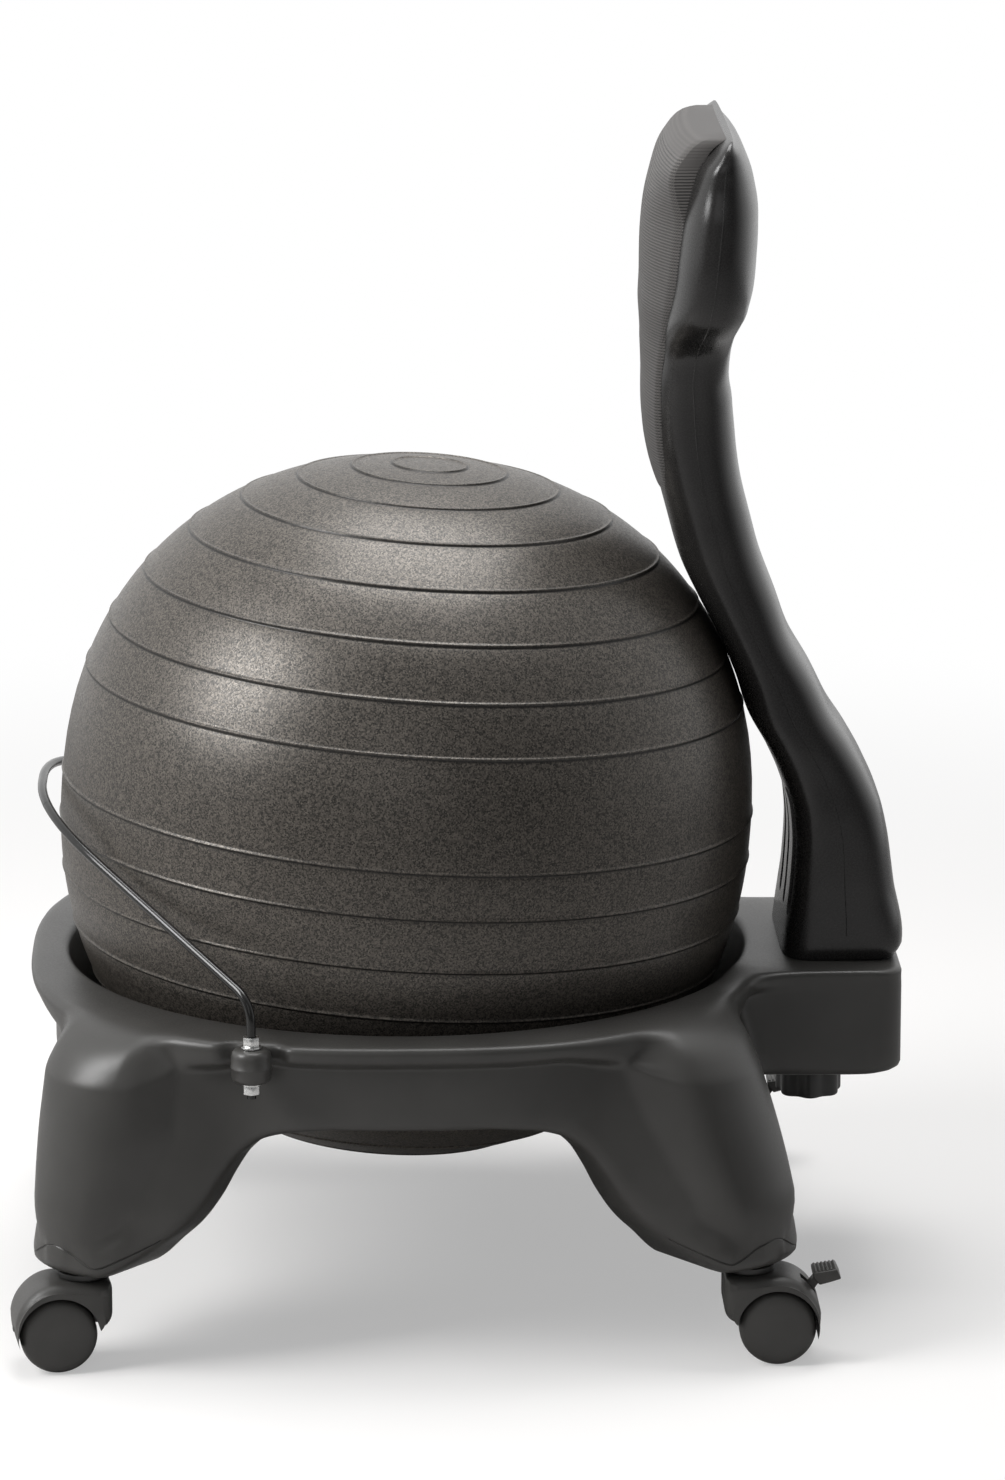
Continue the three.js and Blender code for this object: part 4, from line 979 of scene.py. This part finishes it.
# %% [markdown]
# ## Retaining bar and its nuts
# The bar is one bent rod, so it is a curve with a round bevel, made a mesh at the end. At a bend the
# drawing has a curve with one control point, and a Bezier point's handles lie two thirds towards it.

# %% Bar
BAR_FRONT, BAR_RADIUS = 97, 3
left_half = [(BOSS_X, BOSS_Y, 190.1), (BOSS_X, BOSS_Y, 254), (BAR_FRONT, -229.5, 328.9),
             (BAR_FRONT / 3, -243, 336.5)]
corners = [placed(*corner) for corner in left_half + [(-x, y, z) for x, y, z in reversed(left_half)]]
# How far from each corner the bend begins
left_bends = [16 * MM, 44 * MM, BAR_FRONT / 4 * MM]
bends = left_bends + left_bends[::-1]
begin()
bpy.ops.curve.primitive_bezier_curve_add(radius=0.05)
bar = bpy.context.object
line = bar.data.splines[0]
line.bezier_points.add(2 * len(bends))
knots = [(corners[0], corners[0], corners[0])]
for i, bend in enumerate(bends, start=1):
    before = corners[i] + (corners[i - 1] - corners[i]).normalized() * bend
    after = corners[i] + (corners[i + 1] - corners[i]).normalized() * bend
    knots.append((before, before.lerp(corners[i - 1], 0.2), before.lerp(corners[i], 2 / 3)))
    knots.append((after, after.lerp(corners[i], 2 / 3), after.lerp(corners[i + 1], 0.2)))
knots.append((corners[-1], corners[-1], corners[-1]))
for point, (here, handle_in, handle_out) in zip(line.bezier_points, knots):
    point.handle_left_type = point.handle_right_type = "FREE"
    point.co, point.handle_left, point.handle_right = here, handle_in, handle_out
line.resolution_u = 14
bar.data.dimensions = "3D"
bar.data.bevel_depth, bar.data.bevel_resolution, bar.data.use_fill_caps = BAR_RADIUS * MM, 7, True
bpy.ops.object.convert(target="MESH")
finished(bpy.context.object, "enamelled_bar", bar_enamel, "base", "retaining_bar", 50)

# %% Nuts
NUT_FLATS, NUT_HEIGHT, FLANGE_HEIGHT = 10, 6, 1.6


def flange_nut(flange_below):
    """A hexagon nut with a round flange on its lower or its upper end, drawn about the origin."""
    hexagon = on_circle(NUT_FLATS / sqrt(3), spread(0, tau, 6)[:-1])
    low, flange_low = (FLANGE_HEIGHT, 0) if flange_below else (0, NUT_HEIGHT)
    nut = extruded(hexagon, low, low + NUT_HEIGHT, lambda u, v, w: Vector((u, v, w)) * MM)
    rounded_off(nut, 0.5, 2)
    flange = pin_outline(6.6, flange_low, flange_low + FLANGE_HEIGHT, 0.4)
    combined(nut, spun(flange, Vector(), UP, 32), "UNION")
    return bored(nut, 3.3, -1, 9, Vector(), UP, 24)


for name, below, low in (("upper", True, 223.3), ("lower", False, 193.1)):
    nut = flange_nut(below)
    for place, side in (("left", 1), ("right", -1)):
        twin = copied(nut, Matrix.Translation(placed(side * BOSS_X, BOSS_Y, low)))
        finished(twin, f"zinc_{name}_nut_{place}", zinc, "base", f"bar_{name}_nut_{place}", 30)
    bpy.data.objects.remove(nut, do_unlink=True)

# %% [markdown]
# ## Clamp knob
# The knob under the tail has seven grip lobes. Its outline is a circle drawn in between the lobes,
# extruded and rounded off, with a turned hub on top and a shallow dish below.

# %% Knob
KNOB_LOW, KNOB_MIDDLE, KNOB_HIGH, HUB_HIGH = 115.5, 125.5, 135.5, 152.7
STEM_BORE = 4.3
knob_axis = placed(0, STUD_SETBACK, 0)
knob_outline = []
for angle in spread(0, tau, 140)[:-1]:
    wave = cos(7 * angle)
    knob_outline.append(polar(22.5 - 1.9 * (1 - wave) / 2 * (1.2 - 0.2 * wave), angle))
knob = extruded(knob_outline, KNOB_LOW, KNOB_HIGH, lambda u, v, w: placed(u, STUD_SETBACK + v, w))
rounded_off(knob, 2.0, 4)
bored(knob, 15, 110, KNOB_LOW + 1.2, knob_axis, UP, 48, 1)
bored(knob, STEM_BORE, KNOB_MIDDLE, 160, knob_axis, UP, 32)
combined(knob, spun(pin_outline(12, KNOB_MIDDLE, HUB_HIGH, 0.8, STEM_BORE), knob_axis, UP, 48), "UNION")
finished(knob, "lobed_clamp_knob", knob_plastic, "clamp", "clamp_knob")

# %% [markdown]
# ## Casters
# All four casters are the same twin-wheel kind, so each piece is modelled once about the middle of
# the wheels and copied. The hood is drawn from the side and its outer edges are well rounded. It is
# wrapped as slices across its width: towards both faces the outer part of the outline draws in.

# %% Hood outline
# From the side, in millimetres from the axle: the room round the wheels, the hood's top and its tips
WHEEL_ROOM, HOOD_TOP, STEM_TIP, FAR_TIP = 26.6, 35, 3.5, -6.2
CASTER_TRAIL, WHEEL_RADIUS, HOOD_HALF, AXLE_BORE, PIN_BORE = 18.5, 25, 23, 2.8, 1.5


def curve_points(start, first, second, end, steps):
    """Points of a cubic curve, without its first one."""
    return [start * (1 - t) ** 3 + first * 3 * t * (1 - t) ** 2 + second * 3 * t * t * (1 - t) + end * t ** 3
            for t in [i / steps for i in range(1, steps + 1)]]


def bent(start, corner, end, steps):
    return curve_points(start, start.lerp(corner, 2 / 3), end.lerp(corner, 2 / 3), end, steps)


def at(y, z):
    return Vector((y, z))


# The outer part, from the stem side's tip over the top to the far tip, and the inner part
outer = [at(-WHEEL_ROOM, STEM_TIP)]
outer += bent(outer[-1], at(-35, 6), at(-35, 15.8), 8)
outer += [at(-35, z) for z in (19, 23, 27, 30)] + [at(-34.6, 32.6), at(-33.9, 34.2)]
outer += [at(y, HOOD_TOP) for y in (-32.4, -28, -22, -16, -11, -6, -2)]
outer += curve_points(at(0, HOOD_TOP), at(14.8, HOOD_TOP), at(26.6, 22.1), at(28, 9.1), 16)
outer += bent(outer[-1], at(28, 0), at(26, FAR_TIP), 5)
far_angle, stem_angle = asin(FAR_TIP / WHEEL_ROOM), pi - asin(STEM_TIP / WHEEL_ROOM)
inner = [Vector(point) * WHEEL_ROOM for point in on_circle(1, spread(far_angle, stem_angle, 40)[1:-1])]


def hood_slice(u, corner=8.0):
    """The outline at a distance u from the middle; near the faces the outer part is drawn in."""
    over = max(0, abs(u) - (HOOD_HALF - corner))
    inset = corner - sqrt(max(0, corner ** 2 - over ** 2))
    drawn = []
    for i, point in enumerate(outer):
        before, after = outer[max(0, i - 1)], outer[min(len(outer) - 1, i + 1)]
        along = (after - before).normalized()
        inward = Vector((along.y, -along.x))
        room = max(0.0, point.length - WHEEL_ROOM)
        drawn.append(point + inward * min(inset, room * 0.55))
    return [Vector((u, p.x, p.y)) * MM for p in drawn + inner]


slice_places = [-HOOD_HALF, -22.9, -22.5, -21.8, -20.8, -19.5, -18, -16.5, -15, -7, 0]
slice_places += [-u for u in reversed(slice_places[:-1])]
hood = wrapped([hood_slice(u) for u in slice_places])

# %% Web, bores and stem seat of the hood
def across_caster(u, v, w):
    """A point of the side view, w millimetres to the left of the middle between the wheels."""
    return Vector((w, u, v)) * MM


web_line = [Vector(point) * 28.2 for point in on_circle(1, spread(0, pi * 0.96, 40))]
web_line += [Vector(point) * 8 for point in on_circle(1, spread(pi, tau, 16))]
combined(hood, extruded(web_line, -3, 3, across_caster), "UNION")
bored(hood, AXLE_BORE, -8, 8, Vector(), LEFT, 24)
bored(hood, STEM_BORE, 24.7, 46, Vector((0, -CASTER_TRAIL, 0)) * MM, UP, 32)
print("hood faces", len(hood.data.polygons))

# %% [markdown]
# The two wheels of a caster are drawn as one profile each: a rounded rim that catches a line of
# light, a nearly flat face, and a plain tread.

# %% Wheel
wheel_outline = [(0, 22.2), (10, 22.2), (16, 22.0), (19.5, 21.7), (21.2, 21.2), (22.6, 20.4), (23.8, 19.2),
                 (24.6, 17.6), (WHEEL_RADIUS, 15.8), (WHEEL_RADIUS, 12), (WHEEL_RADIUS, 7), (24.8, 5.6),
                 (24.2, 4.8), (23.4, 4.5), (12, 4.5), (AXLE_BORE, 4.5), (AXLE_BORE, 17.5), (0, 17.5)]
wheel = spun(wheel_outline, Vector(), LEFT, 72)

# %% [markdown]
# The brake lever of the rear casters has a short arm through a slot in the hood and a paddle for the
# toe. Ribs across the paddle give grip.

# %% Brake lever and its slot in the hood
PIVOT_REACH, PIVOT_ANGLE = 29.4, radians(46)
pivot = Vector(polar(PIVOT_REACH, PIVOT_ANGLE))
pin_place = Vector((0, pivot.x, pivot.y)) * MM


def lever_corner(forward, height):
    """A point of the lever, as a share of 21 mm beyond the pivot and of 41 mm above the axle."""
    return pivot.x + forward * 21, height * 41


slot_line = [(pivot.x - 2.9, pivot.y - 2.9)] + on_circle(14, spread(-0.3, 2, 10), *pivot)
braked_hood = copied(hood, Matrix.Identity(4))
combined(braked_hood, extruded(slot_line, -4.5, 4.5, across_caster), "DIFFERENCE")
bored(braked_hood, 3.4, -4.5, 4.5, pin_place, LEFT, 24)
bored(braked_hood, PIN_BORE, -8, 8, pin_place, LEFT, 16)

arm_line = on_circle(2.9, spread(pi * 0.8, pi * 1.9, 12), *pivot)
lever = extruded(arm_line + [lever_corner(0.38, 0.68), lever_corner(0.24, 0.78)], -3.4, 3.4, across_caster)
paddle_line = [lever_corner(*share) for share in ((0.14, 0.75), (0.33, 0.64), (0.66, 0.685), (1, 0.74),
                                                  (0.86, 0.9), (0.5, 0.87), (0.11, 0.84))]
paddle = extruded(paddle_line, -10, 10, across_caster)
rounded_off(paddle, 0.9, 3)
combined(lever, paddle, "UNION")
for step in range(6):
    share = (step + 0.5) / 6
    rib_at = Vector(lever_corner(between(0.14, 0.86, share), between(0.845, 0.9, share)))
    rib = spun(pin_outline(1.0, -9.2, 9.2, 0.5), Vector((0, rib_at.x, rib_at.y - 0.2)) * MM, LEFT, 12)
    combined(lever, rib, "UNION")
bored(lever, PIN_BORE, -8, 8, pin_place, LEFT, 16)
print("lever faces", len(lever.data.polygons))

# %% Collar under each foot
collar = spun([(STEM_BORE, 60.3), (15.6, 60.3), (16.6, 60.7), (17, 61.6), (17, 64.4), (16.6, 64.7), (5.5, 64.7),
               (5.5, 102.5), (STEM_BORE, 102.5)], Vector(), UP, 56)

# %% Place the casters
CASTER_X, CASTER_FRONT, CASTER_REAR = 213, -213, 217.5
CASTERS = [("front_left", CASTER_X, CASTER_FRONT, pi + radians(8.5)),
           ("front_right", -CASTER_X, CASTER_FRONT, radians(20)),
           ("rear_left", CASTER_X, CASTER_REAR, 0), ("rear_right", -CASTER_X, CASTER_REAR, 0)]
for place, x, y, turn in CASTERS:
    stem = Matrix.Translation(placed(x, y, 0))
    finished(copied(collar, stem), f"stem_collar_{place}", knob_plastic, "base",
             f"stem_socket_{place}")
    axle_place = Matrix.Translation(Vector((0, CASTER_TRAIL, WHEEL_RADIUS)) * MM)
    wheels = stem @ Matrix.Rotation(turn, 4, "Z") @ axle_place
    # Pattern, half turn or not, and the starts of the piece's, the body's and the node's name
    shell = hood if place.startswith("front") else braked_hood
    moving = [(shell, 0, "hood", "caster", "caster_hood"), (wheel, 0, "wheel_a", "wheel_a", "caster_wheel_a"),
              (wheel, pi, "wheel_b", "wheel_b", "caster_wheel_b")]
    if place.startswith("rear"):
        moving.append((lever, 0, "toe_lever", "brake", "brake_lever"))
    for pattern, way, name, body, node in moving:
        finished(copied(pattern, wheels @ Matrix.Rotation(way, 4, "Z")), f"{name}_{place}", caster_nylon,
                 f"{body}_{place}", f"{node}_{place}")
for pattern in (hood, braked_hood, wheel, lever, collar):
    bpy.data.objects.remove(pattern, do_unlink=True)

# %% [markdown]
# ## Pieces that keep the CAD mesh
# Axles, stems, pins, the stud and the insert hide inside other pieces, and their plain turned shapes
# are right. They only get their finish.

# %% Finish the hidden pieces
KEPT = {"ball_plug": knob_plastic, "clamp_stud": steel, "back_insert_nut": zinc}
for place, *_ in CASTERS:
    KEPT[f"caster_stem_{place}"] = KEPT[f"caster_axle_{place}"] = steel
KEPT["brake_pin_rear_left"] = KEPT["brake_pin_rear_right"] = steel
for node, material in KEPT.items():
    for material_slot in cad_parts[node].material_slots:
        material_slot.material = material
print("kept nodes", len(KEPT))

# %% [markdown]
# ## Size and end
# The dressed chair's box is measured and printed.

# %% Measure and finish
low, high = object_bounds()
print("visual box", [round(v, 4) for v in (*low, *high)])
